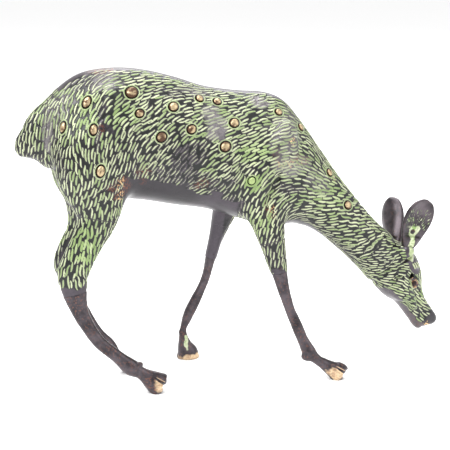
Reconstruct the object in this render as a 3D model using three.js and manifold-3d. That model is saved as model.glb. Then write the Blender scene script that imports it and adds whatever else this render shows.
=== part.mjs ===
// A grazing spotted doe, cast in bronze and assembled from separate pieces.
// Units are millimetres. +X runs toward the head, +Y toward the animal's left, +Z up.
// The origin lies on the ground, under the middle of the statuette.

import * as THREE from "three";
import { mergeVertices } from "three/addons/utils/BufferGeometryUtils.js";
import Module from "manifold-3d";

const wasm = await Module();
wasm.setup();

// Driving dimensions.
const GAP = 0.3; // clearance between neighbouring pieces
const WALL = 3; // thickness of the cast body shell
const BODY_SIDES = 24;
const CORE_SIDES = 14;
const LIMB_SIDES = 12;
const HEAD_SIDES = 18;
const ROUND_SIDES = 10; // sides of a pin, dowel or tenon
const FAR = 500; // reaches past the whole statuette

// Torso and neck, from the rump to the throat: middle x and z, half depth, half width,
// and the section's lean toward the head in degrees.
const TORSO = [
  [-124, 164, 9, 6, -6],
  [-119, 165, 21.5, 14, -7],
  [-108, 165, 33, 21, -9],
  [-94, 164.5, 39, 25.5, -8],
  [-77, 164, 41.5, 27, -4],
  [-61, 162, 41.5, 27.5, 0],
  [-41.5, 157.5, 41, 28, 0],
  [-22, 152.5, 39.5, 28, 0],
  [-2, 147.5, 41, 27.5, 1],
  [16, 143.5, 43, 26.5, 3],
  [27.5, 139, 41, 25, 6],
  [40, 131.5, 32, 22, 9],
  [48.5, 123.5, 26, 18.5, 15],
  [57.5, 114.5, 20.5, 16, 25],
  [69.5, 102.5, 17, 14, 34],
  [84.5, 87, 15, 13, 43],
  [94, 78, 15.5, 12.5, 46],
  [102, 69, 15, 11.5, 44],
];
const BACK_NARROWING = 0.16; // the back is this much narrower than the middle, the belly wider
const CORE_FIRST = 2; // the hollow starts at this station of the torso
const CORE_LAST = 13; // and ends at this one
const HEAD_CUT = 15.7; // the head meets the neck at this station

// Head, from the back of the skull to the lips, along its own axis:
// distance, top, bottom and half width.
const HEAD = [
  [-19, 1, -10, 4],
  [-15, 4.5, -17, 9],
  [-5, 7, -24, 12],
  [4, 7.5, -24, 12.5],
  [11, 6.5, -21.5, 12],
  [18, 4.3, -17.6, 10],
  [27, 3.2, -15.2, 8],
  [35, 4.2, -13.6, 7],
  [42, 5.5, -11.5, 6.5],
  [46.5, 5, -7, 5],
  [48, 2.5, -3, 2.5],
];
const HEAD_PLACE = new THREE.Vector3(119.3, 4, 63.7);
const HEAD_PITCH = 63; // degrees below level
const HEAD_YAW = 12; // degrees toward the left
const NECK_TENON = { radius: 6.5, length: 12 };
const NECK_PIN = { radius: 1.5, halfLength: 11 };
const EYE = { along: 9.5, up: -5, out: 9.8, radius: 3 };

// Ears: hollow leaves on a stalk that sits in the skull.
// Distance from the root, half width and half thickness.
const EAR = [
  [-8, 1.8, 1.8],
  [-3, 2.4, 2.4],
  [3, 3.6, 3],
  [10, 5.2, 3.2],
  [19, 9.6, 3.4],
  [27, 10.4, 3.2],
  [32.5, 7, 2.4],
  [35.5, 2, 1],
];
const EAR_HOLLOW = { first: 3, shift: 2.4, rim: -1 };
const EARS = {
  ear_right: { root: [116.5, -4.5, 78], tip: [124.5, -14, 113], face: [0.15, -0.95, 0] },
  ear_left: { root: [113.5, 9, 77.5], tip: [116.5, 25, 105], face: [0.8, 0.55, 0] },
};

// Tail, from its tip to its root: middle x and z, half depth, half width, lean.
const TAIL = [
  [-141.3, 154.5, 2, 2.5, -38],
  [-138, 157.5, 6.5, 4.5, -36],
  [-132.5, 160.5, 11, 6.5, -30],
  [-127, 165, 16.5, 8, -20],
  [-119, 168, 20, 8.5, -12],
  [-110, 170, 20, 8, -10],
];
const TAIL_TENON = { radius: 3.5, from: [-130, 0, 163], to: [-113, 0, 165] };

// Legs, from inside the body down to the sole: middle x, y and z, half depth along the
// stride and half width across it. Hip and knee are places along that list.
const HIND_TENONS = { hip: { radius: 5, length: 11 }, knee: { radius: 2.6, length: 8 } };
const FORE_TENONS = { hip: { radius: 3, length: 9 }, knee: { radius: 1.9, length: 7 } };
const LEGS = {
  hind_right: {
    hip: 3,
    knee: 7.3,
    tenons: HIND_TENONS,
    path: [
      [-90, -11, 168, 24, 11],
      [-96, -15, 150, 26, 13],
      [-97.5, -17, 133, 22, 12.5],
      [-98.5, -18.5, 114, 13.5, 10],
      [-103.5, -20, 101, 9.6, 7.6],
      [-108.5, -20, 89, 9.6, 6.5],
      [-112, -20.5, 80, 9.6, 6],
      [-112, -21, 71, 8, 5.2],
      [-109, -22, 58, 5.3, 4.1],
      [-104.5, -23, 49, 4.2, 3.5],
      [-96.5, -24, 36, 3.6, 3.1],
      [-85, -25, 25.5, 3.6, 3.1],
      [-77, -26, 18, 4.8, 3.8],
      [-70.5, -26.5, 13.5, 3.6, 3.4],
      [-64, -27, 8.5, 5.8, 5.2],
      [-58.5, -27, 4.3, 8.2, 6.8],
    ],
  },
  hind_left: {
    hip: 3,
    knee: 7.3,
    tenons: HIND_TENONS,
    path: [
      [-88, 11, 168, 24, 11],
      [-91, 14, 150, 24, 13],
      [-93.5, 16, 133, 21, 12.5],
      [-95, 17, 115, 14, 10],
      [-98, 17, 100.5, 10.4, 7.6],
      [-104.5, 17, 89, 9.2, 6.5],
      [-109, 17, 79, 8.8, 6],
      [-108.5, 17.5, 71, 7.6, 5.2],
      [-104.5, 18, 57, 5.4, 4.1],
      [-100, 18.5, 48, 4.4, 3.5],
      [-94, 18.5, 37.5, 3.7, 3.1],
      [-88, 18.5, 28, 3.6, 3.1],
      [-82, 18, 19.5, 4.6, 3.8],
      [-77.5, 17.5, 12.5, 3.4, 3.4],
      [-72.5, 17, 7, 4.8, 4.8],
      [-68, 17, 2.5, 6.2, 6],
    ],
  },
  fore_right: {
    hip: 3,
    knee: 5,
    tenons: FORE_TENONS,
    path: [
      [10, -12, 150, 17, 9],
      [12, -15, 131, 15, 9],
      [15, -18, 113, 11.8, 8],
      [19.5, -20, 93, 7.6, 6.2],
      [22, -21, 81, 5.9, 5.2],
      [24, -22, 72, 4.7, 4.4],
      [26.5, -24, 59.5, 3.4, 3.1],
      [29.5, -25.5, 48, 2.8, 2.7],
      [33, -27, 38, 3, 2.9],
      [36.8, -28, 27.5, 3.1, 2.9],
      [40.5, -29, 19, 4, 3.6],
      [45.5, -30, 14, 2.9, 3],
      [51, -30.5, 10.5, 3.8, 3.8],
      [57, -31, 6.2, 5.4, 5.2],
      [61.5, -31, 3, 6.3, 6],
    ],
  },
  fore_left: {
    hip: 3,
    knee: 5,
    tenons: FORE_TENONS,
    path: [
      [4, 12, 150, 15, 9],
      [2, 15, 130, 12, 8.5],
      [-2, 19, 110, 8.6, 7.2],
      [-5.8, 22, 97, 6, 5.6],
      [-8.5, 24, 86.5, 4.3, 4.2],
      [-11.3, 27, 73, 3.6, 3.6],
      [-14.8, 30, 56.5, 2.9, 2.9],
      [-20.8, 32, 42.5, 3.5, 3.2],
      [-25.8, 34, 30.5, 3.5, 3.1],
      [-27.8, 36, 21.5, 2.2, 2.4],
      [-27.6, 37, 15.5, 3.2, 3.2],
      [-26.4, 37.5, 9.5, 5, 4.6],
      [-24.6, 38, 4, 7.2, 6],
      [-24, 38, -0.5, 7.8, 6.4],
    ],
  },
};
const CLEFT = { width: 1, depth: 7 }; // the split between the two claws of a hoof
const HIP_PIN = { radius: 1.2, head: 1.2, sink: 0.6 };
const HOCK_PIN = { radius: 0.8, head: 0.8, sink: 0.5 };
const KNEE_PIN = { radius: 0.8, head: 1.5, sink: -0.4 };
const PIN_DOME = 0.7; // height of a pin's rounded end

// Dowels that line up the two body halves: station of the torso, and back (1) or belly (-1).
const DOWELS = {
  dowel_rump: [4, 1],
  dowel_back: [8.5, 1],
  dowel_belly: [5.5, -1],
  dowel_chest: [9.5, -1],
};
const DOWEL = { radius: 1.8, halfLength: 5, boss: 4, bossHalfLength: 7 };

// Spot studs on the flanks: x, z and the radius of the domed head.
const SPOTS = {
  right: [
    [-72.5, 191.5, 3.8],
    [-100, 186.5, 3.1],
    [-114, 171.5, 2.6],
    [-98.5, 170, 2.8],
    [-95.5, 146, 3.1],
    [-68.5, 179, 2.5],
    [-46.5, 182, 2.9],
    [-55.5, 165, 3],
    [-36.5, 168.5, 2.8],
    [-29, 186, 2.3],
    [-17, 183.5, 2.2],
    [-15, 157, 3.2],
    [-8, 170.5, 2.9],
    [2.5, 134.5, 2.3],
    [23, 175, 2.2],
    [39, 164, 2.4],
    [59, 133.5, 2.6],
    [71.5, 111.5, 2.8],
  ],
  left: [
    [-76, 188, 3.6],
    [-103, 182, 3],
    [-90, 168, 2.9],
    [-92, 144, 2.8],
    [-60, 172, 2.8],
    [-50, 186, 2.6],
    [-36, 162, 3],
    [-24, 177, 2.7],
    [-6, 160, 3],
    [8, 175, 2.4],
    [47, 148, 2.5],
    [66, 118, 2.6],
  ],
};
const STUD = { shank: 1.1, reach: 2.8, rise: 0.45, height: 0.5, sides: 9, drillSides: 6 };

const finish = (color, roughness) =>
  new THREE.MeshStandardMaterial({ color, roughness, metalness: 0.9 });
const FUR_BRONZE = finish(0x77945c, 0.5);
const DARK_BRONZE = finish(0x4a4348, 0.4);
const SPOT_BRASS = finish(0xb79a5a, 0.3);
const COPPER = finish(0x9c5b3c, 0.35);
const DOWEL_BRASS = finish(0x9b8a55, 0.4);

// Solids.

const SIDEWAYS = new THREE.Vector3(0, 1, 0);
const UP = new THREE.Vector3(0, 0, 1);
const GROUND = new THREE.Vector3(0, 0, 0);

const turnFrom = (axis, direction) =>
  new THREE.Quaternion().setFromUnitVectors(axis, direction.clone().normalize());

const at = (point, direction, distance) => point.clone().addScaledVector(direction, distance);

function solid(geometry) {
  const bare = new THREE.BufferGeometry();
  bare.setAttribute("position", geometry.getAttribute("position"));
  bare.setIndex(geometry.getIndex());
  const merged = mergeVertices(bare, 1e-4);
  return new wasm.Manifold(
    new wasm.Mesh({
      numProp: 3,
      vertProperties: merged.getAttribute("position").array,
      triVerts: new Uint32Array(merged.getIndex().array),
    }),
  );
}

function geometryOf(body) {
  const { numProp, vertProperties, triVerts } = body.getMesh();
  const positions = new Float32Array((vertProperties.length / numProp) * 3);
  for (let i = 0; i < positions.length / 3; i++) {
    positions.set(vertProperties.subarray(i * numProp, i * numProp + 3), i * 3);
  }
  const geometry = new THREE.BufferGeometry();
  geometry.setAttribute("position", new THREE.BufferAttribute(positions, 3));
  geometry.setIndex(new THREE.BufferAttribute(triVerts, 1));
  geometry.computeVertexNormals();
  return geometry;
}

// A closed skin over rings of equal length, each ring turning about the direction of travel.
function skin(rings) {
  const sides = rings[0].length;
  const points = rings.flat();
  const faces = [];
  for (let i = 0; i + 1 < rings.length; i++) {
    for (let k = 0; k < sides; k++) {
      const a = i * sides + k;
      const b = i * sides + ((k + 1) % sides);
      faces.push(a, b, a + sides, b, b + sides, a + sides);
    }
  }
  const last = (rings.length - 1) * sides;
  for (let k = 1; k + 1 < sides; k++) {
    faces.push(0, k + 1, k);
    faces.push(last, last + k, last + k + 1);
  }
  const geometry = new THREE.BufferGeometry().setFromPoints(points);
  geometry.setIndex(faces);
  return solid(geometry);
}

// A smooth curve through three numbers picked from every station.
function smooth(stations, pick) {
  const points = stations.map((station) => new THREE.Vector3(...pick(station)));
  return new THREE.CatmullRomCurve3(points, false, "catmullrom", 0.5);
}

function ring(middle, side, up, wide, deep, sides, narrowing = 0) {
  return Array.from({ length: sides }, (_, k) => {
    const turn = (k / sides) * 2 * Math.PI;
    const across = wide * Math.cos(turn) * (1 - narrowing * Math.sin(turn));
    return middle
      .clone()
      .addScaledVector(side, across)
      .addScaledVector(up, deep * Math.sin(turn));
  });
}

// A section that stands across the X direction and leans by a given angle.
function leaningSection(stations, place) {
  const t = place / (stations.length - 1);
  const middle = smooth(stations, ([x, z]) => [x, 0, z]).getPoint(t);
  const size = smooth(stations, ([, , deep, wide, lean]) => [deep, wide, lean]).getPoint(t);
  const lean = THREE.MathUtils.degToRad(size.z);
  const up = new THREE.Vector3(Math.sin(lean), 0, Math.cos(lean));
  const forward = new THREE.Vector3(up.z, 0, -up.x);
  return { middle, up, forward, deep: size.x, wide: size.y };
}

// A body of leaning sections from one station to another, made larger all round by a growth.
function leaningBody(stations, first, last, growth = 0, sides = BODY_SIDES) {
  const count = Math.ceil(last - first);
  const rings = Array.from({ length: count + 1 }, (_, i) => {
    const s = leaningSection(stations, first + (i / count) * (last - first));
    return ring(s.middle, SIDEWAYS, s.up, s.wide + growth, s.deep + growth, sides, BACK_NARROWING);
  });
  return skin(rings);
}

// A section that stands square to a limb's own path.
function limbSection(stations, place) {
  const t = place / (stations.length - 1);
  const path = smooth(stations, ([x, y, z]) => [x, y, z]);
  const size = smooth(stations, ([, , , deep, wide]) => [deep, wide, 0]).getPoint(t);
  const forward = path.getTangent(t);
  const side = SIDEWAYS.clone().addScaledVector(forward, -forward.y).normalize();
  const up = new THREE.Vector3().crossVectors(forward, side);
  return { middle: path.getPoint(t), forward, side, up, deep: size.x, wide: size.y };
}

function limb(stations) {
  const rings = stations.map((_, i) => {
    const s = limbSection(stations, i);
    return ring(s.middle, s.side, s.up, s.wide, s.deep, LIMB_SIDES);
  });
  return skin(rings);
}

// Everything on the side of a plane that its direction points to.
function beyond(point, direction) {
  const slab = new THREE.BoxGeometry(2 * FAR, 2 * FAR, FAR);
  slab.translate(0, 0, FAR / 2);
  slab.applyQuaternion(
    new THREE.Quaternion().setFromUnitVectors(new THREE.Vector3(0, 0, 1), direction.clone().normalize()),
  );
  slab.translate(point.x, point.y, point.z);
  return solid(slab);
}

function rod(from, to, radius, sides = ROUND_SIDES) {
  const along = to.clone().sub(from);
  const cylinder = new THREE.CylinderGeometry(radius, radius, along.length(), sides);
  cylinder.translate(0, along.length() / 2, 0);
  cylinder.applyQuaternion(
    new THREE.Quaternion().setFromUnitVectors(new THREE.Vector3(0, 1, 0), along.normalize()),
  );
  cylinder.translate(from.x, from.y, from.z);
  return solid(cylinder);
}

const statuette = new THREE.Group();

function add(name, body, material) {
  const mesh = new THREE.Mesh(geometryOf(body), material);
  mesh.name = name;
  statuette.add(mesh);
}

// A cross pin with a rounded end, driven along an axis from its outer end.
function crossPin(name, outerEnd, axis, length, { radius, head }) {
  const profile = [
    new THREE.Vector2(0, -length),
    new THREE.Vector2(radius, -length),
    new THREE.Vector2(radius, -PIN_DOME),
    new THREE.Vector2(head, -PIN_DOME),
    new THREE.Vector2(head, -PIN_DOME / 2),
    new THREE.Vector2(head / 2, 0),
    new THREE.Vector2(0, 0),
  ].filter((point, i, all) => i === 0 || !point.equals(all[i - 1]));
  const lathe = new THREE.LatheGeometry(profile, ROUND_SIDES);
  lathe.applyQuaternion(turnFrom(SIDEWAYS, axis));
  lathe.translate(outerEnd.x, outerEnd.y, outerEnd.z);
  add(name, solid(lathe), DARK_BRONZE);
}

// Legs. Each one is shaped whole and then cut at the hip and at the knee.

function shapeLeg(leg) {
  const sole = limbSection(leg.path, leg.path.length - 1);
  const cleft = new THREE.BoxGeometry(FAR, CLEFT.width, 2 * CLEFT.depth);
  cleft.applyQuaternion(turnFrom(UP, sole.forward));
  cleft.translate(sole.middle.x, sole.middle.y, sole.middle.z);
  return limb(leg.path).intersect(beyond(GROUND, UP)).subtract(solid(cleft));
}

// A cut across a leg: the part above holds the socket, the part below carries the tenon,
// and a cross pin runs through both.
function legJoint(leg, place, tenon, pin, outward) {
  const cut = limbSection(leg.path, place);
  const pinMiddle = at(cut.middle, cut.forward, -tenon.length / 2);
  const reach = limbSection(leg.path, place - 0.3).wide - pin.sink;
  const axis = cut.side.clone().multiplyScalar(outward);
  const room = PIN_DOME + GAP;
  const stem = rod(
    at(pinMiddle, axis, -reach - GAP),
    at(pinMiddle, axis, FAR),
    pin.radius + GAP,
  );
  const counterbore = rod(
    at(pinMiddle, axis, reach - room),
    at(pinMiddle, axis, FAR),
    pin.head + GAP,
  );
  const hole = pin.head > pin.radius ? stem.add(counterbore) : stem;
  return {
    above: beyond(cut.middle, cut.forward.clone().negate()),
    below: beyond(at(cut.middle, cut.forward, GAP), cut.forward),
    socket: rod(
      at(cut.middle, cut.forward, -tenon.length - GAP),
      at(cut.middle, cut.forward, GAP),
      tenon.radius + GAP,
    ).add(hole),
    carryTenon: (body) =>
      body
        .add(
          rod(
            at(cut.middle, cut.forward, -tenon.length),
            at(cut.middle, cut.forward, 3),
            tenon.radius,
          ),
        )
        .subtract(hole),
    addPin: (name) => crossPin(name, at(pinMiddle, axis, reach), axis, 2 * reach, pin),
  };
}

const torso = leaningBody(TORSO, 0, TORSO.length - 1);
const torsoAndGap = leaningBody(TORSO, 0, TORSO.length - 1, GAP);
const tailTenon = (growth) =>
  rod(
    new THREE.Vector3(...TAIL_TENON.from),
    new THREE.Vector3(...TAIL_TENON.to),
    TAIL_TENON.radius + growth,
  );
let outside = torso;
let sockets = tailTenon(GAP);

for (const [name, leg] of Object.entries(LEGS)) {
  const outward = leg.path[0][1] < 0 ? -1 : 1;
  const kneePin = name.startsWith("hind") ? HOCK_PIN : KNEE_PIN;
  const hip = legJoint(leg, leg.hip, leg.tenons.hip, HIP_PIN, outward);
  const knee = legJoint(leg, leg.knee, leg.tenons.knee, kneePin, outward);
  const whole = shapeLeg(leg);
  outside = outside.add(whole.intersect(hip.above));
  sockets = sockets.add(hip.socket);
  const upper = whole.intersect(hip.below).intersect(knee.above).subtract(torsoAndGap);
  add(name.replace("_", "_leg_upper_"), hip.carryTenon(upper).subtract(knee.socket), FUR_BRONZE);
  add(name.replace("_", "_leg_lower_"), knee.carryTenon(whole.intersect(knee.below)), DARK_BRONZE);
  hip.addPin(`${name}_hip_pin`);
  knee.addPin(`${name}_knee_pin`);
}

// Neck joint and head.

const neckCut = leaningSection(TORSO, HEAD_CUT);
const neckPinMiddle = at(neckCut.middle, neckCut.forward, -NECK_TENON.length / 2);
const acrossNeck = (extra, radius) =>
  rod(
    at(neckPinMiddle, SIDEWAYS, -NECK_PIN.halfLength - extra),
    at(neckPinMiddle, SIDEWAYS, NECK_PIN.halfLength + extra),
    radius,
  );
const neckPinHole = acrossNeck(FAR, NECK_PIN.radius + GAP);
const intoNeck = (extra, radius) =>
  rod(
    at(neckCut.middle, neckCut.forward, -NECK_TENON.length - extra),
    at(neckCut.middle, neckCut.forward, 4),
    radius,
  );
sockets = sockets.add(intoNeck(GAP, NECK_TENON.radius + GAP)).add(neckPinHole);
add("neck_pin", acrossNeck(0, NECK_PIN.radius), DARK_BRONZE);

const headFrame = new THREE.Matrix4()
  .makeTranslation(HEAD_PLACE)
  .multiply(new THREE.Matrix4().makeRotationZ(THREE.MathUtils.degToRad(HEAD_YAW)))
  .multiply(new THREE.Matrix4().makeRotationY(THREE.MathUtils.degToRad(HEAD_PITCH)));
const onHead = (along, out, up) => new THREE.Vector3(along, out, up).applyMatrix4(headFrame);

const headRings = HEAD.map(([along, top, bottom, wide]) => {
  const middle = new THREE.Vector3(along, 0, (top + bottom) / 2);
  const points = ring(middle, SIDEWAYS, UP, wide, (top - bottom) / 2, HEAD_SIDES, -0.1);
  return points.map((point) => point.applyMatrix4(headFrame));
});
let head = skin(headRings)
  .add(leaningBody(TORSO, HEAD_CUT, TORSO.length - 1))
  .intersect(beyond(at(neckCut.middle, neckCut.forward, GAP), neckCut.forward))
  .add(intoNeck(0, NECK_TENON.radius))
  .subtract(neckPinHole);

for (const [name, out] of [["eye_right", -EYE.out], ["eye_left", EYE.out]]) {
  const ball = (radius) => {
    const sphere = new THREE.SphereGeometry(radius, ROUND_SIDES, 6);
    const place = onHead(EYE.along, out, EYE.up);
    return solid(sphere.translate(place.x, place.y, place.z));
  };
  head = head.subtract(ball(EYE.radius + GAP));
  add(name, ball(EYE.radius), COPPER);
}

// The leaf of an ear, its sections square to a straight axis from root to tip.
function leaf({ root, axis, face }, first, shift, growth) {
  const across = new THREE.Vector3().crossVectors(face, axis);
  const rings = EAR.slice(first).map(([distance, wide, deep]) => {
    const middle = at(at(root, axis, distance), face, shift);
    return ring(middle, across, face, wide + growth, deep + Math.max(growth, 0), LIMB_SIDES);
  });
  return skin(rings);
}

for (const [name, ear] of Object.entries(EARS)) {
  const root = new THREE.Vector3(...ear.root);
  const axis = new THREE.Vector3(...ear.tip).sub(root).normalize();
  const face = new THREE.Vector3(...ear.face).projectOnPlane(axis).normalize();
  const frame = { root, axis, face };
  const [[stalkEnd, stalkRadius]] = EAR;
  const socketEnd = rod(
    at(root, axis, stalkEnd - GAP),
    at(root, axis, 0),
    stalkRadius + GAP,
  );
  const hollow = leaf(frame, EAR_HOLLOW.first, EAR_HOLLOW.shift, EAR_HOLLOW.rim);
  head = head.subtract(leaf(frame, 0, 0, GAP)).subtract(socketEnd);
  add(name, leaf(frame, 0, 0, 0).subtract(hollow), DARK_BRONZE);
}
add("head", head, FUR_BRONZE);

// Tail.

const tail = leaningBody(TAIL, 0, TAIL.length - 1, 0, LIMB_SIDES).subtract(torsoAndGap);
add("tail", tail.add(tailTenon(0)), FUR_BRONZE);

// Body shell: hollow, with bosses for the dowels, parted down the middle of the back and belly.

let shell = outside
  .intersect(beyond(neckCut.middle, neckCut.forward.clone().negate()))
  .subtract(leaningBody(TORSO, CORE_FIRST, CORE_LAST, -WALL, CORE_SIDES));
for (const [name, [place, edge]] of Object.entries(DOWELS)) {
  const s = leaningSection(TORSO, place);
  const middle = at(s.middle, s.up, edge * (s.deep - WALL - DOWEL.boss / 2));
  const across = (halfLength, radius) =>
    rod(at(middle, SIDEWAYS, -halfLength), at(middle, SIDEWAYS, halfLength), radius);
  shell = shell.add(across(DOWEL.bossHalfLength, DOWEL.boss).intersect(torso));
  shell = shell.subtract(across(DOWEL.halfLength + GAP, DOWEL.radius + GAP));
  add(name, across(DOWEL.halfLength, DOWEL.radius), DOWEL_BRASS);
}
shell = shell.subtract(sockets);

// Spot studs: a domed head over the shell, and a shank through a hole in its wall.

const flank = new THREE.Mesh(geometryOf(outside));
const studProfile = (radius) => [
  new THREE.Vector2(0, -STUD.reach),
  new THREE.Vector2(STUD.shank, -STUD.reach),
  new THREE.Vector2(STUD.shank, STUD.rise),
  new THREE.Vector2(radius, STUD.rise),
  new THREE.Vector2(radius * 0.8, STUD.rise + radius * STUD.height * 0.6),
  new THREE.Vector2(0, STUD.rise + radius * STUD.height),
];
for (const [flankName, spots] of Object.entries(SPOTS)) {
  const outward = flankName === "right" ? -1 : 1;
  spots.forEach(([x, z, radius], i) => {
    const outside = new THREE.Vector3(x, outward * FAR, z);
    const inward = new THREE.Vector3(0, -outward, 0);
    const [hit] = new THREE.Raycaster(outside, inward).intersectObject(flank);
    const stud = new THREE.LatheGeometry(studProfile(radius), STUD.sides);
    stud.applyQuaternion(turnFrom(SIDEWAYS, hit.face.normal));
    stud.translate(hit.point.x, hit.point.y, hit.point.z);
    const drill = rod(
      at(hit.point, hit.face.normal, -STUD.reach - GAP),
      at(hit.point, hit.face.normal, 1),
      STUD.shank + GAP,
      STUD.drillSides,
    );
    shell = shell.subtract(drill);
    add(`spot_stud_${flankName}_${String(i + 1).padStart(2, "0")}`, solid(stud), SPOT_BRASS);
  });
}

for (const [name, outward] of [["body_shell_right", -1], ["body_shell_left", 1]]) {
  const away = new THREE.Vector3(0, outward, 0);
  add(name, shell.intersect(beyond(at(GROUND, away, GAP / 2), away)), FUR_BRONZE);
}

// The statuette stands with the middle of its outline over the origin.
const box = new THREE.Box3().setFromObject(statuette);
statuette.position.set(-(box.min.x + box.max.x) / 2, -(box.min.y + box.max.y) / 2, 0);

export default statuette;
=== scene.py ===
"""A grazing spotted doe in cast bronze: the looks of every piece.

Sizes are in millimetres, in the casting's own frame: +X runs toward the head, +Y toward the
animal's left, +Z up, and the two body halves meet at Y = 0. They turn into metres, at the
statuette's place in the frame, when a shape becomes an object.
"""

import logging
import math
from collections.abc import Callable, Iterable
from dataclasses import dataclass, field
from enum import Enum
from functools import cached_property
from typing import NamedTuple

import bpy
import numpy as np
import openvdb as vdb
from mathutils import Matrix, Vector
from mathutils.kdtree import KDTree


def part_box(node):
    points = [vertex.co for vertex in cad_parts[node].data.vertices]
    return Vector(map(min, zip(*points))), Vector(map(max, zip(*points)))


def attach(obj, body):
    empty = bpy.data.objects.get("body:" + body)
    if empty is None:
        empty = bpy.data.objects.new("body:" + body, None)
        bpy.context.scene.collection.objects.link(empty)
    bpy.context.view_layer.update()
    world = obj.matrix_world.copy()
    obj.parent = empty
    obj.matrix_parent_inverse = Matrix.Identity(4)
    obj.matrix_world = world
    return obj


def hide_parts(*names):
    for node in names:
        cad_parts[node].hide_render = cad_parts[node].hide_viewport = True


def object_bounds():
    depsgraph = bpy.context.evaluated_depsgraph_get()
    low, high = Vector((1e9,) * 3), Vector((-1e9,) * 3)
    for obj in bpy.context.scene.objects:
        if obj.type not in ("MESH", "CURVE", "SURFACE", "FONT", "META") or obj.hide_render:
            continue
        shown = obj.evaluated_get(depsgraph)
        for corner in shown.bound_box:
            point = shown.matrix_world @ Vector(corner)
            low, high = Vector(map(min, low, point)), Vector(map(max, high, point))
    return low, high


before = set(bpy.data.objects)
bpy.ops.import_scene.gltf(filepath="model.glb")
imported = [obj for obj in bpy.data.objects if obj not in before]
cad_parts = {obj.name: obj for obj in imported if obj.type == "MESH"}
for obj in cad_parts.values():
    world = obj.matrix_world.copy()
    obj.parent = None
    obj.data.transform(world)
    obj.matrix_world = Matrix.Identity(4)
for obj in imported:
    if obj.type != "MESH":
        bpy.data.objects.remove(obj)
CAD_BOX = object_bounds()

Array = np.ndarray
log = logging.getLogger("doe")

MM = 0.001  # metres
BODY = "root"
WALL = 3.0  # thickness of the cast body shell
SEAM = 0.06  # gap between neighbouring pieces
FAR = 700.0  # reaches past the whole statuette
SIDES = 28  # corners of a turned piece
STEEP = 0.9  # share of a direction that counts as running along an axis
SIDEWAYS = np.array([0.0, 1.0, 0.0])
UPWARD = np.array([0.0, 0.0, 1.0])


class Slot(Enum):
    """Material slots of the record."""

    FUR = "fur_bronze"
    DARK = "dark_bronze"
    SPOT = "spot_brass"
    EYE = "eye_copper"
    PIN = "pin_bronze"
    DOWEL = "dowel_brass"


class Side(Enum):
    """The two sides of the animal, as signs of Y."""

    RIGHT = -1
    LEFT = 1


class Cut(Enum):
    """How a tool acts on a piece."""

    REMOVE = "DIFFERENCE"
    KEEP = "INTERSECT"
    JOIN = "UNION"


# Stations of the casting. Torso and neck: middle x and z, half depth, half width and lean.
TORSO = np.array([
    [-124, 164, 9, 6, -6], [-119, 165, 21.5, 14, -7], [-108, 164.3, 31.8, 21, -9],
    [-94, 164.5, 39, 25.5, -8], [-77, 164, 41.5, 27, -4], [-61, 162, 41.5, 27.5, 0],
    [-41.5, 157.5, 41, 28, 0], [-22, 152.5, 39.5, 28, 0], [-2, 147.5, 41, 27.5, 1],
    [16, 143.5, 43, 26.5, 3], [27.5, 139, 41, 25, 6], [40, 131.5, 32, 22, 9],
    [48.5, 123.5, 26, 18.5, 15], [57.5, 114.5, 20.5, 16, 25], [69.5, 102.5, 17, 14, 34],
    [84.5, 87, 15, 13, 43], [94, 78, 15.5, 12.5, 46], [102, 69, 15, 11.5, 44],
], float)
BACK_NARROWING = 0.16  # how much narrower the back is than the belly
CORE_FIRST, CORE_LAST = 2.0, 13.0  # stations where the hollow starts and ends
HEAD_CUT = 15.7  # station where the head joins the neck

# Tail, tip first, in the same columns.
TAIL = np.array([
    [-141.3, 154, 2.2, 2.8, -38], [-138, 156.6, 7, 5, -36], [-132.5, 159.2, 11.2, 7.6, -30],
    [-127, 163, 16.2, 10, -20], [-119, 166, 19.6, 12, -12], [-110, 168.5, 19, 12, -10],
], float)

# Legs, top to sole: middle x, y and z, half depth along the stride and half width.
HIND_RIGHT = np.array([
    [-90, -11, 168, 24, 11], [-95, -15, 150, 26, 13], [-94.8, -17, 133, 21.2, 12.5],
    [-95.6, -18.5, 114, 13.1, 10], [-101.6, -20, 101, 10.2, 7.6], [-107.8, -20, 89, 9.8, 6.5],
    [-111.6, -20.5, 80, 9.8, 6], [-111.4, -21, 71, 8.4, 5.2], [-108.6, -22, 58, 5.8, 4.3],
    [-105, -23, 49, 4.6, 3.7], [-97, -24, 36, 4.1, 3.4], [-85.4, -25, 25.2, 4.1, 3.4],
    [-77, -26, 17.8, 5.3, 4.1], [-70.5, -26.5, 13.5, 4, 3.6], [-64, -27, 8.7, 6.2, 5.4],
    [-58.5, -27, 4.6, 8.4, 6.8],
], float)
HIND_LEFT = np.array([
    [-88, 11, 168, 24, 11], [-91, 14, 150, 24, 13], [-93.5, 16, 133, 21, 12.5],
    [-95, 17, 115, 14, 10], [-98, 17, 100.5, 10.4, 7.6], [-104.5, 17, 89, 9.2, 6.5],
    [-109, 17, 79, 8.8, 6], [-108.5, 17.5, 71, 7.6, 5.2], [-104.5, 18, 57, 5.4, 4.1],
    [-100.8, 18.5, 48, 4.4, 3.5], [-95.2, 18.5, 37.5, 3.7, 3.1], [-89.2, 18.5, 28, 3.6, 3.1],
    [-82.8, 18, 19.5, 4.6, 3.8], [-77.5, 17.5, 12.5, 3.4, 3.4], [-72.5, 17, 7, 4.8, 4.8],
    [-68, 17, 2.5, 6.2, 6],
], float)
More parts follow.
